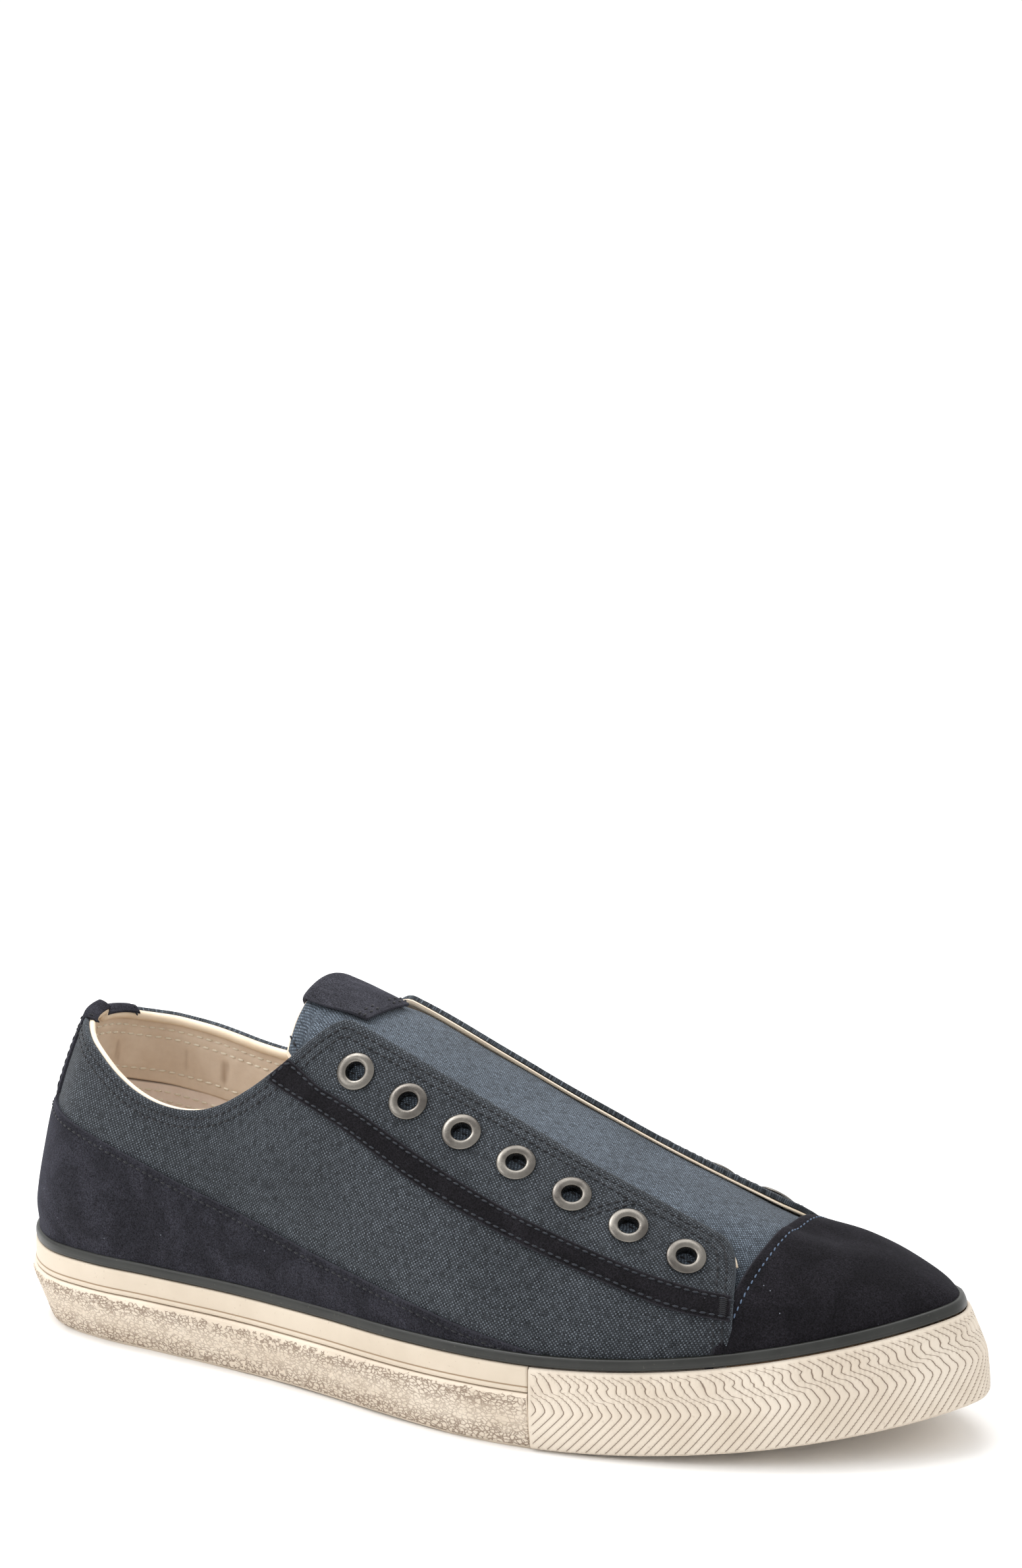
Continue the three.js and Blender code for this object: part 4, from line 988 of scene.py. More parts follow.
def patchPiece(name, turns, low, high, rows, look, material, slot, *nodes, extra=0.0, flare=None):
    # a suede or leather patch on the last, with rounded edges and sewn channels beside its borders
    angles = evenAngles(turns, low, high, rows)
    base = lastPoint(turns[:, None], angles)
    edgeRun = distanceTo(base, borderOf(base, look.get("borders", "lbrt")))
    offset = look["offset"] + look["thickness"] - look["roundness"] * bump(edgeRun / look["round"])
    for sides, distance in look["channels"]:
        offset = offset - look["channelDepth"] * bump((distanceTo(base, borderOf(base, sides)) - distance) / 0.5)
    offset = offset + look["softness"] * softNoise(base, look["softScale"], look["seed"])
    offset = offset - look.get("tuck", 0.0) * (1 - overWelt(base)) + extra
    fold = bump(edgeRun / 0.7)
    points = offsetPoint(turns[:, None], angles, offset)
    if flare:
        points = flaredToWelt(points, turns, angles, *flare)
    piece = gridPiece(name, points, clothOver(base), {"fold": fold})
    thicken(piece, look["thickness"], 0.2)
    finishPiece(piece, material, slot, *nodes)
    return piece, points


def insideBorder(base, side, distance):
    # the line a distance inside one border of a grid, by interpolation along rows or columns
    turned = np.swapaxes(base, 0, 1)
    grid = {"l": base, "r": base[::-1], "b": turned, "t": turned[::-1]}[side]
    run = np.cumsum(np.linalg.norm(np.diff(grid, axis=0, prepend=grid[:1]), axis=2), axis=0)
    line = []
    for k in range(grid.shape[1]):
        line.append([np.interp(distance, run[:, k], grid[:, k, c]) for c in range(3)])
    return np.array(line)


# The canvas quarters, in one piece round the heel, open for the eyelets
quarterLook = {"columns": 430, "rows": 64, "hem": 5.2, "hemRise": 0.4, "channels": (2.6, 5.0),
               "channelDepth": 0.38, "thickness": 1.3, "softness": 0.12, "softScale": 26.0, "footOffset": 0.15}
eyeletLook = {"count": 7, "first": 123.69, "last": 227.01, "fromEdge": 13.0, "hole": 4.2, "flange": 5.6}

quarterTurns = np.linspace(quarterEnds[1] - 1, quarterEnds[0], quarterLook["columns"])
heelColumn = int(np.argmin(np.abs(quarterTurns)))


def eyeletPlaces():
    places = []
    for side in (-1, 1):
        turns = np.linspace(turnAt(108, side), turnAt(247, side), 500)
        angles = angleBelowEdge(turns, eyeletLook["fromEdge"])
        points = lastPoint(turns, angles)
        order = np.argsort(points[:, 0])
        for x in np.linspace(eyeletLook["first"], eyeletLook["last"], eyeletLook["count"]):
            turn = np.interp(x, points[order, 0], turns[order])
            places.append((float(turn), float(np.interp(x, points[order, 0], angles[order]))))
    turns, angles = np.array(places).T
    return offsetPoint(turns, angles, quarterLook["thickness"]), lastNormal(turns, angles)


eyeletPoints, eyeletNormals = eyeletPlaces()


def downFromEdge(side, topX, lowX, near, far, count=14):
    # a line down the facing, from one place beside the throat's edge to another
    turns = np.linspace(turnAt(topX - 30, side), turnAt(topX + 30, side), 240)
    line = []
    for share in np.linspace(0, 1, count):
        angles = angleBelowEdge(turns, near + (far - near) * share)
        points = offsetPoint(turns, angles, quarterLook["thickness"] + 0.5)
        order = np.argsort(points[:, 0])
        x = topX + (lowX - topX) * share
        line.append([np.interp(x, points[order, 0], points[order, c]) for c in range(3)])
    return np.array(line)


def nearEyelet(middles):
    gaps = np.linalg.norm(middles[:, None, :] - eyeletPoints[None], axis=2)
    return gaps.min(axis=1) < eyeletLook["hole"]


quarterAngles = evenAngles(quarterTurns, weltAngle(quarterTurns, 2.0), edgeAngle(quarterTurns),
                           quarterLook["rows"])
quarterBase = lastPoint(quarterTurns[:, None], quarterAngles)
quarterRim = borderOf(quarterBase, "lrt")
quarterRun = distanceTo(quarterBase, quarterRim)


def overWelt(base, reach=9.0):
    # 0 at the piping's top and 1 a little above it
    return smoothStep((heightOver(base) - sole["pipingTop"] + 0.4) / reach)


def rowAt(base, run, distance, reach=14.0):
    # the line at one distance inside the collar and the facings, down both front edges too
    top = []
    for points, away in zip(base, run):
        hits = np.nonzero(away[::-1] >= distance)[0]
        if len(hits) and hits[0] > 0:
            k = len(away) - hits[0]
            t = (distance - away[k]) / (away[k - 1] - away[k])
            top.append(points[k] + (points[k - 1] - points[k]) * t)
    sides = []
    for grid, field in ((base, run), (base[::-1], run[::-1])):
        line = []
        for j in range(base.shape[1]):
            hits = np.nonzero(field[:60, j] >= distance)[0]
            if len(hits) and hits[0] > 0:
                k = hits[0]
                t = (distance - field[k - 1, j]) / (field[k, j] - field[k - 1, j])
                p = grid[k - 1, j] + (grid[k, j] - grid[k - 1, j]) * t
                if np.linalg.norm(p - grid[0, j]) < reach:
                    line.append(p)
        sides.append(np.array(line))
    return np.array(top), sides[0], sides[1]


def makeQuarters():
    look = quarterLook
    offset = look["hemRise"] * (1 - smoothStep((quarterRun - look["hem"]) / 1.2))
    offset = offset - 0.25 * bump(quarterRun / 0.5)
    for distance in look["channels"]:
        offset = offset - look["channelDepth"] * bump((quarterRun - distance) / 0.45)
    offset = offset + look["softness"] * softNoise(quarterBase, look["softScale"], 5)
    foot = look["footOffset"]
    step = foot + (upper["quarterStep"] - foot) * overWelt(quarterBase)
    points = offsetPoint(quarterTurns[:, None], quarterAngles, step + offset * overWelt(quarterBase, 3.0))
    fold = bump(quarterRun / 0.6) + 0.25 * bump((quarterRun - look["hem"]) / 0.5)
    cloth = clothOver(quarterBase, heelColumn)
    piece = gridPiece("quarterCanvas", points, cloth, {"fold": fold}, skip=nearEyelet)
    thicken(piece, look["thickness"], 0.25)
    return finishPiece(piece, canvas, "canvas", "upper"), points


quarterCanvas, quarterTop = makeQuarters()
print("stage: quarters made")

# Inside: a tan leather band below the collar, a paler one under it, and the cream rolled edge
innerLook = {"columns": 300, "bandRows": 40, "backRows": 26, "footRows": 12, "bandDepth": 24.0,
             "bandOffset": -0.6, "backStart": 21.0, "crease": 0.6, "creaseScale": 5.5, "seams": (5.5, 8.5, 20.0),
             "backSeams": (27.0, 30.0), "seamRise": 0.2, "bandThickness": 0.45, "backThickness": 0.4}
innerTurns = np.linspace(quarterEnds[1] - 1 + 1.5 / girth, quarterEnds[0] - 1.5 / girth, innerLook["columns"])


def heelShare(p):
    # 1 at the heel and 0 ahead of it
    return smoothStep((70 - p[..., 0]) / 40)


def makeInside():
    look = innerLook
    top = edgeAngle(innerTurns)
    low = np.maximum(angleBelowEdge(innerTurns, look["bandDepth"]), weltAngle(innerTurns, -1.5))
    angles = evenAngles(innerTurns, low, top - 0.002, look["bandRows"])
    base = lastPoint(innerTurns[:, None], angles)
    run = distanceTo(base, quarterRim)
    cloth = clothOver(base)
    lines = np.stack((cloth[..., 0] + 0.22 * cloth[..., 1], 0.12 * cloth[..., 1], 0 * run), -1)
    sharp = np.clip(softNoise(lines, look["creaseScale"], 8), 0, 2) ** 2
    crease = (look["crease"] * sharp * (0.15 + 0.85 * heelShare(base)) * smoothStep((run - 8.5) / 4)
              * smoothStep((21 - run) / 4))
    offset = look["bandOffset"] + 0.9 * crease
    for distance in look["seams"]:
        offset = offset + look["seamRise"] * bump((run - distance) / 0.5)
    # the relief value falls in the creases, where the lining's finish paints shade
    relief = np.clip(0.6 - 0.9 * crease, 0, 1)
    points = offsetPoint(innerTurns[:, None], angles, offset)
    band = gridPiece("collarLining", points, cloth, {"relief": relief}, flip=True, skip=nearEyelet)
    thicken(band, look["bandThickness"], 0.0)
    finishPiece(band, liningLeather, "leather")
    bandFace = (points, run)

    high = angleBelowEdge(innerTurns, look["backStart"])
    welt = np.minimum(weltAngle(innerTurns), high - 0.02)
    angles = evenAngles(innerTurns, welt, high, look["backRows"])
    base = lastPoint(innerTurns[:, None], angles)
    lift = np.minimum(1.3 * overWelt(base), 1.3)
    run = distanceTo(base, quarterRim)
    offset = -upper["wall"] + lift + 0.05
    for distance in look["backSeams"]:
        offset = offset + look["seamRise"] * bump((run - distance) / 0.5)
    wall = offsetPoint(innerTurns[:, None], angles, offset)
    foot = sidePoint(innerTurns, upperInset + upper["wall"], sole["thickness"] + 0.6)
    lowRows = [foot + (wall[:, 0] - foot) * t for t in np.linspace(0, 0.95, look["footRows"])]
    points = np.concatenate([np.stack(lowRows, 1), wall], axis=1)
    # a dark line at the band's lower edge: painted shade in the crevice between the band and the back lining
    seam = bump((run - look["bandDepth"]) / 0.6)
    seam = np.concatenate([np.zeros((len(innerTurns), look["footRows"])), seam], axis=1)
    back = gridPiece("backLining", points, clothOver(points), {"seam": seam}, flip=True)
    thicken(back, look["backThickness"], 0.0)
    finishPiece(back, backLeather, "leather")
    return band, back, bandFace, (wall, run)


collarLining, backLining, liningFace, backFace = makeInside()

rollShape = {"columns": 620, "sides": 12, "below": 1.45, "wide": 1.15, "tall": 1.5, "facingWide": 0.5,
             "facingTall": 1.1}


def makeRoll():
    turns = np.linspace(quarterEnds[1] - 1 + 0.6 / girth, quarterEnds[0] - 0.6 / girth, rollShape["columns"])
    angles = angleBelowEdge(turns, rollShape["below"])
    centre = lastPoint(turns, angles)
    outward = lastNormal(turns, angles)
    along = unit(np.gradient(centre, axis=0))
    up = unit(np.cross(outward, along))
    up *= np.sign(np.sum(up * (lastPoint(turns, edgeAngle(turns)) - centre), axis=1))[:, None]
    narrow = smoothStep((centre[:, 0] - 96) / 16)[:, None]
    wide = rollShape["wide"] + (rollShape["facingWide"] - rollShape["wide"]) * narrow
    tall = rollShape["tall"] + (rollShape["facingTall"] - rollShape["tall"]) * narrow
    middle = centre - outward * (wide - 0.1)
    spin = np.linspace(0, 2 * math.pi, rollShape["sides"], endpoint=False)
    sections = (middle[:, None] + outward[:, None] * (np.cos(spin)[None, :, None] * wide[:, None])
                + up[:, None] * (np.sin(spin)[None, :, None] * tall[:, None]))
    piece = ringPiece("collarEdge", sections, closed=False)
    return finishPiece(piece, rollLeather, "leather")


makeRoll()
print("stage: linings made")


# The toe: cream lining of the vamp under a suede cap
def vampEdge(turns):
    return angleWhere(turns, lambda p, t: (capRearAt(p) + upper["capOverlap"] > p[..., 0])
                      & (heightOver(p) > upper["notchHeight"]))


vampLook = {"columns": 200, "rows": 44, "beyond": 3, "offset": -0.05, "thickness": 1.7, "edge": 0.2}


def makeVamp():
    look = vampLook
    beyond = look["beyond"] / girth
    turns = np.linspace(quarterEnds[0] - beyond, quarterEnds[1] + beyond, look["columns"])
    inside = np.clip(turns, quarterEnds[0] + 0.1 / girth, quarterEnds[1] - 0.1 / girth)
    angles = evenAngles(inside, weltAngle(inside, 2.0), vampEdge(inside), look["rows"])
    points = offsetPoint(inside[:, None], angles, look["offset"])
    piece = gridPiece("vampLining", points, clothOver(points))
    thicken(piece, look["thickness"], look["edge"])
    return finishPiece(piece, rollLeather, "leather")


makeVamp()

capLook = {"offset": 0.3, "thickness": 0.9, "roundness": 0.3, "round": 0.6, "borders": "t",
           "channels": (("t", 3.0),), "channelDepth": 0.22, "softness": 0.12, "softScale": 30.0, "seed": 3,
           "weltInset": 2.2, "weltHeight": 27.5, "flare": 14.0, "fullness": 3.8, "rearShift": 2.3,
           "sideEnd": 241.0, "columns": 250, "rows": 60, "slip": 0.5}
capTurns = np.linspace(*(float(turnAt(capLook["sideEnd"], side)) for side in (-1, 1)), capLook["columns"])


def underQuarters(turns):
    # the cap slips under the quarters at its sides
    inside = np.minimum(turns - quarterEnds[0], quarterEnds[1] - turns) * girth
    return -capLook["slip"] * smoothStep(-inside / 1.5)[:, None]


def aboveLine(table, column):
    # whether a point lies above a line that a table gives
    return lambda p, t: p[..., 2] > readTable(table, column, p[..., 0] / shoe["length"]) * shoe["collarHeight"]


capTop = angleWhere(capTurns, lambda p, t: p[..., 0] < capRearAt(p) - capLook["rearShift"])
capFlare = [capLook[key] for key in ("weltInset", "weltHeight", "flare", "fullness")]
toeCap, capFace = patchPiece("toeCap", capTurns, weltAngle(capTurns, 1.0), capTop, capLook["rows"], capLook,
                             capSuede, "suede", "toe_cap", extra=underQuarters(capTurns), flare=capFlare)

counterLook = {"offset": 1.5, "thickness": 0.9, "roundness": 0.3, "round": 0.6, "borders": "t",
               "channels": (("t", 2.2),), "channelDepth": 0.2, "softness": 0.16, "softScale": 24.0, "seed": 4,
               "tuck": 1.25, "columns": 360, "rows": 34, "foot": 0.8, "leastRise": 0.012}
counterTurns = np.linspace(turnAt(upper["counterFront"], 1) - 1, turnAt(upper["counterFront"], -1),
                           counterLook["columns"])
counterLow = weltAngle(counterTurns, counterLook["foot"])
counterTop = angleWhere(counterTurns, aboveLine(counterLine, 1))
counterTop = np.maximum(counterTop, counterLow + counterLook["leastRise"])
heelCounter, counterFace = patchPiece("heelCounter", counterTurns, counterLow, counterTop, counterLook["rows"],
                                      counterLook, suede, "suede", "heel_counter")
print("stage: toe cap and counter made")

# Suede stripes below the eyelets
bandLook = {"offset": 1.45, "thickness": 0.95, "roundness": 0.35, "round": 0.6,
            "channels": (("b", 1.3), ("t", 1.3)), "channelDepth": 0.18, "softness": 0.06, "softScale": 20.0,
            "seed": 6, "settled": 116.0, "lowStart": 97.2, "highStart": 102.8, "width": 5.6, "lowMargin": 0.03,
            "highMargin": 0.005, "columns": 240, "rows": 12, "tack": 2.2}


def bandEdge(turns, column, side, width, margin, startAt):
    # follows its table ahead of the settled place, and runs up to the collar's edge behind it
    x = soleEdge(turns)[0]
    full = eyeletLook["first"] - eyeletLook["fromEdge"]
    behind = smoothStep((x - upper["bandRear"]) / (full - upper["bandRear"]))
    ahead = smoothStep((upper["quarterFront"] - x) / (0.04 * shoe["length"]))
    drop = (eyeletLook["fromEdge"] + eyeletLook["flange"] + 2 * shoe["gap"] + width) * behind * ahead
    line = angleWhere(turns, aboveLine(bandLine, column + (0 if side < 0 else 2)))
    angle = np.minimum(line, angleBelowEdge(turns, drop) - margin)
    rear = lastPoint(turns, angle)[:, 0]
    settled = rear > bandLook["settled"]
    edge = edgeAngle(turns)
    edgeX = lastPoint(turns, edge)[:, 0]
    first = np.argmin(np.abs(edgeX - startAt))
    start = edge[first] - margin
    where = np.where(settled)[0]
    join = where[np.argmin(rear[where])]
    span = np.clip((turns - turns[first]) / (turns[join] - turns[first]), 0, 1)
    beyond = min(join + 12, len(turns) - 1) if join > first else max(join - 12, 0)
    slope = (angle[beyond] - angle[join]) / (turns[beyond] - turns[join]) * (turns[join] - turns[first])
    curve = ((2 * span ** 3 - 3 * span ** 2 + 1) * start + (span ** 3 - 2 * span ** 2 + span) * slope
             + (3 * span ** 2 - 2 * span ** 3) * angle[join] + (span ** 3 - span ** 2) * slope)
    curve = np.where(edgeX < startAt, edge, curve)
    return np.minimum(np.where(settled, angle, curve), edge - margin)


def makeBand(name, side, node):
    look = bandLook
    ends = [float(turnAt(upper["bandRear"], side)),
            float(turnAt(upper["quarterFront"], side)) + side * 0.8 / girth]
    turns = np.linspace(min(ends), max(ends), look["columns"])
    low = bandEdge(turns, 1, side, look["width"], look["lowMargin"], look["lowStart"])
    high = bandEdge(turns, 2, side, 0.0, look["highMargin"], look["highStart"])
    return patchPiece(name, turns, low, high, look["rows"], look, bandSuede, "suede", node)


outerBand, outerBandTop = makeBand("sideBandOuter", -1, "side_band_outer")
innerBand, innerBandTop = makeBand("sideBandInner", 1, "side_band_inner")
print("stage: side bands made")


# Heel strip and the tab folded over the collar
def heelHalf(width):
    turns = np.linspace(0, 0.1, 400)
    edge = lastPoint(turns, edgeAngle(turns))
    return float(np.interp(width / 2, np.linalg.norm(edge - edge[0], axis=1), turns))


stripLook = {"offset": 1.5, "thickness": 0.9, "roundness": 0.3, "round": 0.6,
             "channels": (("l", 1.3), ("r", 1.3)), "channelDepth": 0.18, "softness": 0.05, "softScale": 20.0,
             "seed": 7, "width": 29.0, "lowShare": 0.74, "overlap": 1.5, "drop": 5.0, "columns": 40, "rows": 44}
tabFoldLook = {"width": 30.0, "drop": 6.0, "outside": 2.3, "inside": -2.5, "thickness": 0.8, "columns": 64,
               "innerShare": 0.03, "crest": 0.75, "seam": 1.4}


def makeStrip():
    look = stripLook
    half = heelHalf(look["width"])
    turns = np.linspace(-half, half, look["columns"])
    low = angleAtHeight(turns, look["lowShare"] * shoe["collarHeight"] - look["overlap"])
    top = angleAtHeight(turns, lastPoint(turns, edgeAngle(turns))[:, 2] - look["drop"])
    return patchPiece("heelStrip", turns, low, top, look["rows"], look, suede, "suede", "heel_strip")


heelStrip, stripFace = makeStrip()


def makeHeelTab():
    look = tabFoldLook
    half = heelHalf(look["width"])
    turns = np.linspace(-half, half, look["columns"])
    top = edgeAngle(turns)
    low = angleAtHeight(turns, lastPoint(turns, top)[:, 2] - look["drop"])
    rise = unit(lastPoint(turns, top) - lastPoint(turns, top - 0.02))
    outward = lastNormal(turns, top)
    rows = []
    for t in np.linspace(0, 1, 12, endpoint=False):
        rows.append(offsetPoint(turns, low + (top - low) * t, look["outside"]))
    middle, radius = (look["outside"] + look["inside"]) / 2, (look["outside"] - look["inside"]) / 2
    crest = lastPoint(turns, top)
    for a in np.linspace(0, math.pi, 13):
        rows.append(crest + outward * (middle + radius * math.cos(a))
                    + rise * (look["crest"] * math.sin(a) + 0.1))
    for t in np.linspace(1, 1 - look["innerShare"], 5)[1:]:
        rows.append(offsetPoint(turns, low + (top - low) * t, look["inside"]))
    base = np.stack(rows, 1)
    run = distanceTo(base, borderOf(base))
    normal = unit(np.cross(np.gradient(base, axis=0), np.gradient(base, axis=1)))
    base = base - normal * (0.25 * bump(run / 0.6) + 0.18 * bump((run - look["seam"]) / 0.45))[..., None]
    piece = gridPiece("heelTab", base, clothOver(base), {"fold": bump(run / 0.7)})
    thicken(piece, look["thickness"], 0.2)
    return finishPiece(piece, suede, "suede", "heel_tab"), base


heelTab, heelTabTop = makeHeelTab()
print("stage: heel strip and tab made")


# The tongue under the facings and its folded suede loop
tongueShape = {"rear": 98.49, "settle": 24.0, "top": 109.9, "fall": 0.29, "crown": 24.5, "flatness": 0.15,
               "offset": -1.15, "front": 248.8, "thickness": 0.9, "lining": 0.75, "liningOffset": -0.95,
               "seam": 4.0, "columns": 190, "rows": 76, "liningColumns": 120, "liningRows": 48}


def lastOver(x, y):
    # the place on the last straight above or below a point
    outer = y < middleAt(x)
    low, high = np.where(outer, 0.0, toeTurn), np.where(outer, toeTurn, 1.0)
    for _ in range(36):
        mid = (low + high) / 2
        foot, ridgeX, ridgeY, power = columnAt(mid)
        reach = np.clip((y - ridgeY) / (foot[..., 1] - ridgeY), 0, 1)
        place = ridgeX + (foot[..., 0] - ridgeX) * reach
        passed = np.where(outer, place > x, place < x)
        low, high = np.where(passed, low, mid), np.where(passed, mid, high)
    foot, ridgeX, ridgeY, power = columnAt(low)
    reach = np.clip((y - ridgeY) / (foot[..., 1] - ridgeY), 0, 1)
    return low, np.arccos(reach ** (power / 2))


def tonguePoint(x, share, offset=0.0):
    t = tongueShape
    x, share = np.broadcast_arrays(np.asarray(x, float), np.asarray(share, float))
    middle = middleAt(x)
    dy = share * readTable(tongueLine, 1, x / shoe["length"]) * shoe["ballWidth"]

    def faceAt(across):
        turn, angle = lastOver(x, middle + across)
        return offsetPoint(turn, angle, t["offset"] + offset)

    face = faceAt(np.where(np.abs(dy) < 0.5, 0.5, dy))
    rim = upper["throatHalfWidth"] + 1
    flat = t["flatness"] + (1 - t["flatness"]) * smoothStep((x / shoe["length"] - 0.667) / 0.133)
    outerEdge, innerEdge = (faceAt(across)[..., 2] for across in (-rim, rim))
    edge = outerEdge + (innerEdge - outerEdge) * np.clip((dy + rim) / (2 * rim), 0, 1)
    within = np.abs(dy) < rim
    face[..., 2] = np.where(within, edge + (face[..., 2] - edge) * flat, face[..., 2])
    face[..., 1] = np.where(np.abs(dy) < 0.5, middle + dy, face[..., 1])
    top = t["top"] - t["fall"] * (x - t["rear"]) + offset
    drop = t["crown"] - np.sqrt(np.maximum(t["crown"] ** 2 - dy ** 2, 0))
    free = smoothStep((t["rear"] + t["settle"] - x) / t["settle"])[..., None]
    return face * (1 - free) + np.stack((x, middle + dy, top - drop), -1) * free


def tongueGrid(columns, rows, rear, front, offset, side=1.0):
    along = np.linspace(0, 1, columns)[:, None]
    share = np.linspace(-1, 1, rows)[None, :] * side
    sweep = upper["capSweep"] * (2 * share * 0.23) ** 2
    x = rear + (front - sweep - rear) * along
    return tonguePoint(x, np.broadcast_to(share, x.shape), offset)


def makeTongue():
    t = tongueShape
    points = tongueGrid(t["columns"], t["rows"], t["rear"], t["front"], 0.0)
    run = distanceTo(points, borderOf(points, "lbt"))
    normal = unit(np.cross(np.gradient(points, axis=0), np.gradient(points, axis=1)))
    wave = 0.3 * softNoise(points * (0.5, 1, 1), 24.0, 12) * smoothStep((run - 3) / 6)
    lower = 0.3 * bump(run / 0.6) + 0.25 * bump((run - t["seam"]) / 0.5) - wave
    points = points - normal * lower[..., None]
    fold = bump(run / 0.8)
    piece = gridPiece("tongueCanvas", points, clothOver(points), {"fold": fold})
    thicken(piece, t["thickness"], 0.2)
    finishPiece(piece, tongueCanvas, "canvas", "tongue")
    under = tongueGrid(t["liningColumns"], t["liningRows"], t["rear"] - 0.5, t["front"] - 2,
                       t["liningOffset"], 1.01)
    relief = 0.5 + 0.2 * softNoise(under, 9.0, 2)
    lining = gridPiece("tongueLining", under, clothOver(under), {"relief": relief})
    thicken(lining, t["lining"], 0.15)
    finishPiece(lining, liningLeather, "leather")
    return piece, points


tonguePiece, tongueTop = makeTongue()

tongueTabLook = {"half": 12.6, "length": 19.5, "under": 12.0, "lift": 2.1, "below": -3.15, "thickness": 1.15,
                 "start": 0.8, "seams": (1.5, 3.2)}


def makeTongueTab():
    look, t = tongueTabLook, tongueShape
    dy = np.linspace(-look["half"], look["half"], 44)
    rear = t["rear"] + look["start"]

    def spot(x, offset):
        x = np.full(len(dy), x)
        share = dy / (readTable(tongueLine, 1, x / shoe["length"]) * shoe["ballWidth"])
        p = tonguePoint(x, share)
        ahead = tonguePoint(x + 1.0, share) - p
        aside = tonguePoint(x, share + 0.02) - p
        normal = unit(np.cross(ahead, aside))
        return p + normal * offset, normal, -unit(ahead)

    rows = [spot(x, look["lift"])[0] for x in np.linspace(rear + look["length"], rear + 0.8, 34)]
    middle, radius = (look["lift"] + look["below"]) / 2, (look["lift"] - look["below"]) / 2
    crest, normal, back = spot(rear, 0.0)
    for a in np.linspace(0, math.pi, 15):
        rows.append(crest + normal * (middle + radius * math.cos(a)) + back * (radius * math.sin(a)))
    rows += [spot(x, look["below"])[0] for x in np.linspace(rear + 0.8, rear + look["under"], 16)]
    base = np.stack(rows, 1)
    run = distanceTo(base, borderOf(base))
    normal = unit(np.cross(np.gradient(base, axis=0), np.gradient(base, axis=1)))
    soft = 0.12 * softNoise(base, 14.0, 9)
    base = base - normal * (0.3 * bump(run / 0.7))[..., None] + normal * soft[..., None]
    piece = gridPiece("tongueTab", base, clothOver(base), {"fold": bump(run / 0.8)})
    thicken(piece, look["thickness"], 0.25)
    return finishPiece(piece, tabSuede, "suede", "tongue_tab"), base


tongueTab, tongueTabTop = makeTongueTab()
print("stage: tongue made")

# Insole with its raised rim and a shallow dish
insoleLook = {"low": 8.4, "top": 12.3, "rise": 1.2, "riseWidth": 8.0, "dish": 0.8, "dishWidth": 26,
              "columns": 150, "rows": 46}


def besideWall(turn, height, clearance):
    low = sole["thickness"] + shoe["gap"]
    foot = sidePoint(turn, upperInset + upper["wall"], low)
    welt = offsetPoint(turn, weltAngle(turn), -upper["wall"])
    share = (height - low) / (sole["pipingTop"] + shoe["gap"] - low)
    inward = np.stack(soleEdge(turn, 1.0), -1) - np.stack(soleEdge(turn, 0.0), -1)
    point = foot + (welt - foot) * share
    point[..., :2] += inward * clearance
    return point


def makeInsole():
    look = insoleLook
    count = 720
    rim = besideWall(np.linspace(0, 1, count + 1), look["top"], 0.5)
    heel, toe = int(np.argmin(rim[:, 0])), int(np.argmax(rim[:, 0]))
    rim = np.roll(rim[:-1], -heel, axis=0)
    toe = (toe - heel) % count
    spread = (1 - np.cos(np.linspace(0.05, math.pi - 0.05, look["columns"]))) / 2
    x = rim[0, 0] + (rim[toe, 0] - rim[0, 0]) * spread
    outer, inner = rim[:toe + 1], np.vstack([rim[toe:], rim[:1]])[::-1]
    right = np.interp(x, outer[:, 0], outer[:, 1])
    left = np.interp(x, inner[:, 0], inner[:, 1])
    share = np.linspace(0, 1, look["rows"])[None, :]
    y = right[:, None] + (left - right)[:, None] * share
    grid = np.stack(np.broadcast_arrays(x[:, None], y, 0.0), -1).copy()
    edge = distanceTo(grid * (1, 1, 0), rim * (1, 1, 0))
    level = look["top"] + look["rise"] * (1 - smoothStep(edge / look["riseWidth"]))
    level = level - look["dish"] * smoothStep(edge / look["dishWidth"])
    level = level + 0.12 * softNoise(grid, 40.0, 21)
    grid[..., 2] = level + springAt(grid[..., 0])
    piece = gridPiece("insoleTop", grid, clothOver(grid), {"relief": 0.5 + 0.3 * softNoise(grid, 15.0, 4)})
    thicken(piece, look["top"] - look["low"] - 0.6, 0.3)
    return finishPiece(piece, liningLeather, "leather", "insole")


makeInsole()
print("stage: insole made")

# Foxing, piping and the rough rim
foxingShape = {"columns": 520, "uneven": 0.05, "clearance": 0.2, "profile": (
    (1.5, 17.1, 0), (0.8, 17.12, 0), (0.58, 17.4, 0), (0.55, 17.9, 0), (0.6, 18.3, 0.2), (0.82, 18.5, 0.9),
    (1.0, 18.62, 1), (0.86, 18.78, 0.8), (0.8, 19.1, 0), (0.8, 20.4, 0), (0.8, 21.8, 0), (0.8, 23.2, 0),
    (0.86, 23.9, 0), (1.1, 24.25, 0.3), (1.5, 24.4, 0.6), (2.6, 24.4, 0.2), (2.6, 20.6, 0), (2.6, 17.1, 0))}


def sideRing(turns, profile, uneven, seed):
    # a profile of inset, height and seam, swept along the sole's side; its inner face stays even
    table = np.array(profile)
    height = table[None, :, 1]
    inset = table[None, :, 0] + 0.0 * turns[:, None]
    wave = uneven * softNoise(sidePoint(turns[:, None], inset, height)[:, 0], 17.0, seed)
    return sidePoint(turns[:, None], inset + np.where(table[None, :, 0] < 2.5, wave[:, None], 0), height)


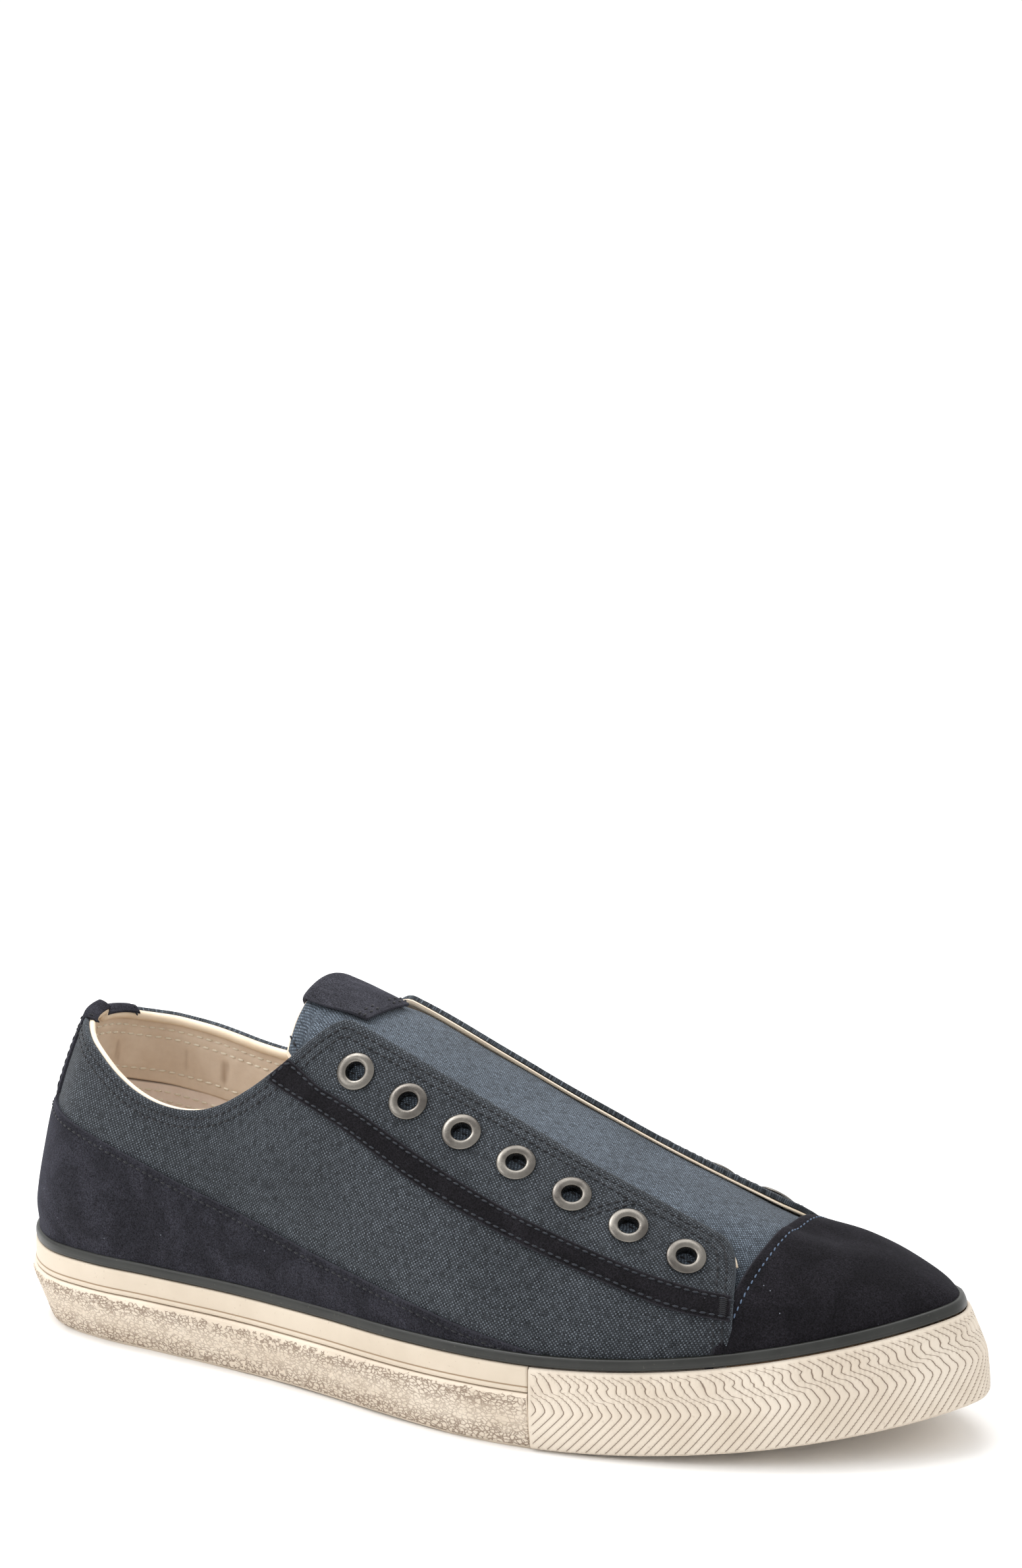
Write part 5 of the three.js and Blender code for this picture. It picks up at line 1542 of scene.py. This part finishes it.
def makeFoxing():
    look = foxingShape
    end = sole["bumperStart"] - look["clearance"]
    turns = np.linspace(float(turnAt(end, 1)) - 1, float(turnAt(end, -1)), look["columns"])
    sections = sideRing(turns, look["profile"], look["uneven"], 31)
    seam = np.array(look["profile"])[None, :, 2]
    piece = ringPiece("foxingBand", sections, values={"seam": seam}, closed=False)
    return finishPiece(piece, foxingRubber, "foxing", "foxing_band")


makeFoxing()

pipingShape = {"columns": 900, "uneven": 0.06, "profile": (
    (2.6, 24.6, 0), (1.5, 24.62, 0), (1.12, 24.85, 0), (0.98, 25.2, 0), (1.0, 25.5, 0.9), (0.93, 25.75, 0),
    (0.92, 26.3, 0), (0.98, 26.9, 0), (1.12, 27.4, 0), (1.42, 27.72, 0), (1.8, 27.85, 0), (2.6, 27.85, 0),
    (2.6, 26.2, 0))}


def makePiping():
    look = pipingShape
    turns = np.linspace(0, 1, look["columns"], endpoint=False)
    sections = sideRing(turns, look["profile"], look["uneven"], 33)
    piece = ringPiece("pipingStrip", sections, values={"seam": np.array(look["profile"])[None, :, 2]})
    return finishPiece(piece, pipingRubber, "piping", "piping")


makePiping()
print("stage: foxing and piping made")


# Rough rim: pebbled skin over the side of the sole, raised by nodes
def makeGravelTree():
    tree, w, inlet = startTree("gravelSkin", "GeometryNodeTree", (
        ("Grain", "Float", 0.0011, 0.0003, 0.01), ("Height", "Float", 0.0006, 0.0, 0.004),
        ("Smooth", "Float", 0.35, 0.0, 1.0), ("Seed", "Int", 3), ("Finish", "Material")))
    start = w.node("ShaderNodeCombineXYZ", {"X": w.math("MULTIPLY", inlet["Seed"], 0.37)}).outputs[0]
    place = w.vector("ADD", w.node("GeometryNodeInputPosition").outputs[0], start)
    warp = w.noise(place, w.math("DIVIDE", 0.5, inlet["Grain"]), 2.0)
    bend = w.bent(warp, w.math("MULTIPLY", inlet["Grain"], 1.6))
    cells = w.node("ShaderNodeTexVoronoi", {
        "Vector": w.vector("ADD", place, bend), "Scale": w.math("DIVIDE", 1.0, inlet["Grain"]),
        "Smoothness": inlet["Smooth"]}, feature="SMOOTH_F1")
    broad = w.noise(place, w.math("DIVIDE", 0.35, inlet["Grain"]), 2.0)[0]
    lump = w.math("SUBTRACT", 1.0, w.math("MULTIPLY", cells.outputs["Distance"], 1.35), clamp=True)
    relief = w.math("MULTIPLY", lump, w.step(broad, 0.3, 0.62, 0.75, 1.0))
    reach = w.named("reach")
    push = w.math("MULTIPLY", w.math("MULTIPLY", w.math("SUBTRACT", relief, 0.35), reach), inlet["Height"])
    offset = w.vector("SCALE", w.node("GeometryNodeInputNormal").outputs[0], scale=push)
    resting = w.math("MULTIPLY", w.math("SUBTRACT", 1.0, reach), 0.5)
    stored = w.store(inlet["Geometry"], "relief", w.math("ADD", w.math("MULTIPLY", relief, reach), resting))
    moved = w.node("GeometryNodeSetPosition", {"Geometry": stored, "Offset": offset}).outputs[0]
    endTree(w, moved, inlet["Finish"])
    return tree


# The rim's rise as shares, then the height, the share of the taper and the tuck there
rimShape = {"columns": 900, "rows": 32, "grain": 1.4, "height": 0.34, "smooth": 0.5, "out": 0.12,
            "thickness": 1.2, "clearance": 0.4, "heights": ((0, 0.9, 0.955, 1.0), (1.0, 15.6, 16.5, 16.72)),
            "taper": ((0, 0.85, 0.955, 1.0), (1.0, 0.0, 0.05, 0.0)),
            "tuck": ((0, 0.9, 0.955, 1.0), (0, 0, 0.45, 1.5))}


def makeRim():
    look = rimShape
    end = sole["bumperStart"] - look["clearance"]
    turns = np.linspace(float(turnAt(end, 1)) - 1, float(turnAt(end, -1)), look["columns"])
    x = soleEdge(turns)[0]
    foot = sole["heelTaper"] + (sole["ballTaper"] - sole["heelTaper"]) * smoothStep(x / (0.6 * shoe["length"]))
    rise = np.linspace(0, 1, look["rows"])
    height, lean, tuck = (np.interp(rise, *look[key]) for key in ("heights", "taper", "tuck"))
    inset = foot[:, None] * lean[None, :] + tuck[None, :] - look["out"]
    level = height[None, :] + archAt(x)[:, None] * (1 - rise)[None, :]
    points = sidePoint(turns[:, None], inset, level)
    reach = np.minimum(smoothStep(rise / 0.04), smoothStep((1 - rise) / 0.05))[None, :]
    close = np.minimum(np.arange(len(turns)), np.arange(len(turns))[::-1])
    reach = reach * smoothStep(close / 4)[:, None]
    coarse = np.clip(np.abs(rise - 0.47) * 2.1, 0, 1)[None, :]
    coarse = np.clip(coarse + 0.1 * softNoise(points * (0.5, 0.5, 1), 12.0, 14), 0, 1)
    piece = gridPiece("rimGravel", points, clothOver(points), {"reach": reach, "coarse": coarse})
    applyTree(piece, gravelTree, {"Grain": look["grain"] / 1000, "Height": look["height"] / 1000,
                                  "Smooth": look["smooth"], "Seed": 3, "Finish": rimRubber})
    thicken(piece, look["thickness"], 0.0)
    return finishPiece(piece, rimRubber, "tread")


gravelTree = makeGravelTree()
makeRim()
print("stage: rough rim made")


# Bumper round the toe: chevron ribs raised by nodes from its run and height
def makeRibTree():
    tree, w, inlet = startTree("chevronRibs", "GeometryNodeTree", (
        ("Pitch", "Float", 2.65, 0.5, 20.0), ("Lean", "Float", 0.58, -3.0, 3.0),
        ("Point", "Float", 12.5, 0.0, 40.0), ("Depth", "Float", 0.0006, 0.0, 0.004),
        ("Wave", "Float", 0.5, 0.0, 4.0), ("Seed", "Int", 2), ("Finish", "Material")))
    along, up, reach = w.named("along"), w.named("up"), w.named("reach")
    over = w.math("SUBTRACT", up, inlet["Point"])
    bow = w.math("SQRT", w.math("ADD", w.math("MULTIPLY", over, over), 0.35))
    slowAlong, slowUp = w.math("MULTIPLY", along, 0.09), w.math("MULTIPLY", up, 0.32)
    place = w.node("ShaderNodeCombineXYZ", {"X": slowAlong, "Y": slowUp, "Z": inlet["Seed"]}).outputs[0]
    sway = w.noise(place, 1.0, 1.0)[0]
    turned = w.math("ADD", w.math("MULTIPLY", over, 0.95), w.math("MULTIPLY", sway, 5.0))
    swing = w.math("MULTIPLY", w.math("SINE", turned), w.math("MULTIPLY", sway, inlet["Wave"]))
    shift = w.math("MULTIPLY", swing, w.step(over, 0.2, 4.0))
    run = w.math("ADD", w.math("ADD", along, w.math("MULTIPLY", bow, inlet["Lean"])), shift)
    counted = w.math("DIVIDE", run, inlet["Pitch"])
    fromMiddle = w.math("ABSOLUTE", w.math("SUBTRACT", w.math("FRACT", counted), 0.5))
    groove = w.math("MULTIPLY", w.step(fromMiddle, 0.3, 0.5), reach)
    sink = w.math("MULTIPLY", w.math("MULTIPLY", groove, inlet["Depth"]), -1.0)
    offset = w.vector("SCALE", w.node("GeometryNodeInputNormal").outputs[0], scale=sink)
    stored = w.store(inlet["Geometry"], "relief", w.math("SUBTRACT", 1.0, groove))
    lined = w.store(stored, "ribs", counted)
    moved = w.node("GeometryNodeSetPosition", {"Geometry": lined, "Offset": offset}).outputs[0]
    endTree(w, moved, inlet["Finish"])
    return tree


bumperShape = {"columns": 1100, "rows": 34, "pitch": 2.72, "lean": 1.0, "depth": 0.45, "wave": 2.2, "foot": 0.6,
               "thickness": 2.1, "clearance": 0.3, "headTaper": 0.4, "headRound": 0.7, "footRound": 0.6}


def makeBumper():
    look = bumperShape
    end = sole["bumperStart"] + look["clearance"]
    foot, point, head = look["foot"], sole["chevronHeight"], sole["foxingTop"]
    turns = np.linspace(float(turnAt(end, -1)), float(turnAt(end, 1)), look["columns"])
    up = np.linspace(foot, head, look["rows"])
    below = np.clip((point - up) / (point - foot), 0, 1)
    above = np.clip((up - point) / (head - point), 0, 1)
    inset = sole["bumperTaper"] * below ** 1.6 + look["headTaper"] * above ** 1.5
    inset = inset + look["headRound"] * bump((up - head) / 0.45) + look["footRound"] * bump((up - foot) / 0.5)
    points = sidePoint(turns[:, None], np.broadcast_to(inset, (len(turns), len(up))), up[None, :])
    along = runLength(points[:, look["rows"] // 2])
    near = np.minimum(along, along[-1] - along)
    inBand = np.minimum(smoothStep((up - foot) / 0.8), smoothStep((head - 0.7 - up) / 0.5))
    reach = smoothStep(near / 1.5)[:, None] * inBand[None, :]
    values = {"along": along[:, None], "up": up[None, :], "reach": reach}
    piece = gridPiece("toeBumper", points, clothOver(points), values)
    applyTree(piece, ribTree, {"Pitch": look["pitch"], "Lean": look["lean"], "Point": point, "Seed": 2,
                               "Depth": look["depth"] / 1000, "Wave": look["wave"], "Finish": bumperRubber})
    thicken(piece, look["thickness"], 0.0)
    return finishPiece(piece, bumperRubber, "bumper", "toe_bumper")


ribTree = makeRibTree()
makeBumper()
print("stage: bumper made")


# Eyelets: one lathed ring set at every place by nodes
def makeEyeletTree():
    tree, w, inlet = startTree("eyeletRow", "GeometryNodeTree", (
        ("Ring", "Object"), ("Size", "Float", 1.0, 0.1, 5.0), ("Finish", "Material")))
    ring = w.node("GeometryNodeObjectInfo", {"Object": inlet["Ring"]}).outputs["Geometry"]
    turned = w.node("FunctionNodeAlignRotationToVector", {"Vector": w.named("outward", "FLOAT_VECTOR")},
                    axis="Z").outputs[0]
    points = w.node("GeometryNodeMeshToPoints", {"Mesh": inlet["Geometry"]}).outputs[0]
    placed = w.node("GeometryNodeInstanceOnPoints", {"Points": points, "Instance": ring, "Rotation": turned,
                                                     "Scale": inlet["Size"]}).outputs[0]
    endTree(w, placed, inlet["Finish"])
    return tree


eyeletRing = {"sides": 56, "lift": 0.32, "profile": (
    (3.25, -2.6), (3.25, 0.05), (4.6, 0.02), (5.35, 0.0), (5.6, 0.1), (5.58, 0.32), (5.2, 0.62), (4.6, 0.84),
    (3.9, 0.92), (3.3, 0.86), (2.95, 0.66), (2.76, 0.3), (2.7, -0.3), (2.7, -2.6))}


def makeEyelets():
    look = eyeletRing
    profile = np.array(look["profile"]) / 1000
    spin = np.linspace(0, 2 * math.pi, look["sides"], endpoint=False)
    size = len(profile)
    points = [(r * math.cos(a), r * math.sin(a), z) for a in spin for r, z in profile]
    faces = []
    for i in range(look["sides"]):
        a, b = i * size, ((i + 1) % look["sides"]) * size
        for j in range(size):
            k = (j + 1) % size
            faces.append((b + j, b + k, a + k, a + j))
    mesh = bpy.data.meshes.new("eyeletRing")
    mesh.from_pydata(points, [], faces)
    ring = addObject("eyeletRing", mesh)
    piece = outwardMesh("eyelets", eyeletPoints + eyeletNormals * look["lift"], [], eyeletNormals)
    applyTree(piece, makeEyeletTree(), {"Ring": ring, "Size": 1.0, "Finish": nickel})
    bpy.data.objects.remove(ring)
    nodes = ["eyelet_%s_%d" % (side, i + 1) for side in ("outer", "inner") for i in range(eyeletLook["count"])]
    return finishPiece(piece, nickel, "nickel", *nodes)


makeEyelets()
print("stage: eyelets made")

# Stitches: rows of threads laid on the pieces
hemStitch = {"pitch": 2.4, "length": 1.9, "thickness": 0.68, "slant": 0.1, "unevenness": 0.12}
bandStitch = {"pitch": 2.5, "length": 2.0, "thickness": 0.6, "slant": 0.1, "unevenness": 0.12}
capStitch = {"pitch": 2.2, "length": 1.6, "thickness": 0.52, "slant": 0.15, "unevenness": 0.15}
innerStitch = {"pitch": 3.0, "length": 2.4, "thickness": 0.8, "slant": 0.08, "unevenness": 0.1}
barTack = {"pitch": 0.5, "length": 2.4, "thickness": 0.5, "slant": 1.5, "unevenness": 0.1}
facingSeam = {"top": 206.5, "low": 196.0, "near": 6.0, "far": 17.6, "apart": 2.2}
stitchTree = makeStitchTree()

hemLines = [line for distance in quarterLook["channels"] for line in rowAt(quarterTop, quarterRun, distance)]
for side in (-1, 1):
    for step in (0, facingSeam["apart"]):
        hemLines.append(downFromEdge(side, facingSeam["top"] + step, facingSeam["low"] + step,
                                     facingSeam["near"], facingSeam["far"]))
stitchPiece("hemStitches", layRows(quarterCanvas, hemLines, 0.05), hemStitch, darkThread, "canvas", 11)

bandPaths, tackPaths = [], []
for piece, top, end in ((outerBand, outerBandTop, "r"), (innerBand, innerBandTop, "l")):
    bandPaths += layRows(piece, [insideBorder(top, *channel) for channel in bandLook["channels"]], 0.08)
    across = insideBorder(top, end, bandLook["tack"])
    middle = len(across) // 2
    tackPaths += layRows(piece, [across[middle - 4:middle + 4]], 0.08, 0.4)
stitchPiece("bandStitches", bandPaths, bandStitch, greyThread, "suede", 12)
stitchPiece("barTacks", tackPaths, barTack, darkThread, "suede", 17)

ahead = (capTurns > quarterEnds[0] + 0.6 / girth) & (capTurns < quarterEnds[1] - 0.6 / girth)
capRun = distanceTo(capFace, borderOf(capFace, "t"))
capLine = rowAt(capFace[ahead], capRun[ahead], capLook["channels"][0][1])[0]
stitchPiece("capStitches", layRows(toeCap, [capLine], 0.1), capStitch, blueThread, "suede", 13)
for name, piece, face, look, lift, stitch, seed in (
        ("counterStitches", heelCounter, counterFace, counterLook, 0.05, hemStitch, 14),
        ("heelStripStitches", heelStrip, stripFace, stripLook, 0.06, bandStitch, 15)):
    lines = [insideBorder(face, *channel) for channel in look["channels"]]
    stitchPiece(name, layRows(piece, lines, lift), stitch, darkThread, "suede", seed)

innerPaths = layRows(collarLining, [rowAt(*liningFace, distance)[0] for distance in innerLook["seams"]], 0.04)
backLines = [rowAt(*backFace, distance)[0] for distance in innerLook["backSeams"]]
innerPaths += layRows(backLining, [line[line[:, 0] < 120] for line in backLines], 0.04)
stitchPiece("liningStitches", innerPaths, innerStitch, creamThread, "leather", 16)

tongueLines = [insideBorder(tongueTop, side, tongueShape["seam"]) for side in "bt"]
stitchPiece("tongueStitches", layRows(tonguePiece, tongueLines, 0.05), hemStitch, darkThread, "canvas", 18)
tabLines = [insideBorder(tongueTabTop, "b", distance) for distance in tongueTabLook["seams"]]
tabPaths = layRows(tongueTab, [part for line in tabLines for part in (line[1:14], line[-14:-1])], 0.06)
tabPaths += layRows(heelTab, [insideBorder(heelTabTop, side, tabFoldLook["seam"]) for side in "lrb"], 0.06)
stitchPiece("tabStitches", tabPaths, hemStitch, darkThread, "suede", 19)
print("stage: stitches made")

# The outsole keeps its own mesh and takes the tread's rubber
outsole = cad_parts["outsole"]
for place in outsole.material_slots:
    place.material = treadRubber

# Camera, floor and light
view = {"place": (0.53507, -1.00763, 0.41082), "azimuth": 27.566, "elevation": 11.7436, "lens": 95.234,
        "sensor": 36.0, "nearest": 0.05}
# Each light's name, place, aim, size and power
lights = (("key", (-0.35, 0.35, 1.6), (0, 0, 0.05), (1.5, 1.2), 15),
          ("fill", (-0.9, -1.1, 1.0), (-0.05, 0, 0.05), (1.0, 0.8), 6),
          ("collar", (-0.26, -0.08, 0.5), (-0.08, 0.01, 0.06), (0.2, 0.2), 1.0))
floorLook = {"half": 4, "low": (0.955, 0.952, 0.945, 1), "high": (0.97, 0.967, 0.962, 1)}
worldStrength = 1.05


def placeCamera():
    data = bpy.data.cameras.new("camera")
    data.lens = view["lens"]
    data.sensor_width = view["sensor"]
    data.sensor_fit = "AUTO"
    data.clip_start = view["nearest"]
    data.dof.use_dof = False
    camera = addObject("camera", data)
    az, el = math.radians(view["azimuth"]), math.radians(view["elevation"])
    back = Vector((math.sin(az) * math.cos(el), -math.cos(az) * math.cos(el), math.sin(el)))
    camera.location = view["place"]
    camera.rotation_euler = (-back).to_track_quat("-Z", "Y").to_euler()
    bpy.context.scene.camera = camera


def addLight(name, place, aim, size, power):
    data = bpy.data.lights.new(name, "AREA")
    data.shape = "RECTANGLE"
    data.size, data.size_y = size
    data.energy = power
    lamp = addObject(name, data)
    lamp.location = place
    lamp.rotation_euler = (Vector(aim) - Vector(place)).to_track_quat("-Z", "Y").to_euler()


def makeFloor():
    half = floorLook["half"]
    mesh = bpy.data.meshes.new("floor")
    mesh.from_pydata([(-half, -half, 0), (half, -half, 0), (half, half, 0), (-half, half, 0)], [], [(0, 1, 2, 3)])
    floor = addObject("floor", mesh)
    material, w, shader = startMaterial("paleFloor", roughness=0.9, specular=0.1)
    cloud = w.noise(objectPlace(w), 3.0, 2.0)[0]
    w.join((w.mixColour(cloud, floorLook["low"], floorLook["high"]), shader.inputs["Base Color"]))
    mesh.materials.append(material)


placeCamera()
makeFloor()
for light in lights:
    addLight(*light)
world = bpy.data.worlds.new("studio")
world.use_nodes = True
background = world.node_tree.nodes["Background"]
background.inputs[0].default_value = (1.0, 1.0, 1.0, 1)
background.inputs[1].default_value = worldStrength
bpy.context.scene.world = world
bpy.context.scene.view_settings.view_transform = "Standard"
bpy.context.scene.view_settings.look = "None"

print("stage: camera, floor and light set")
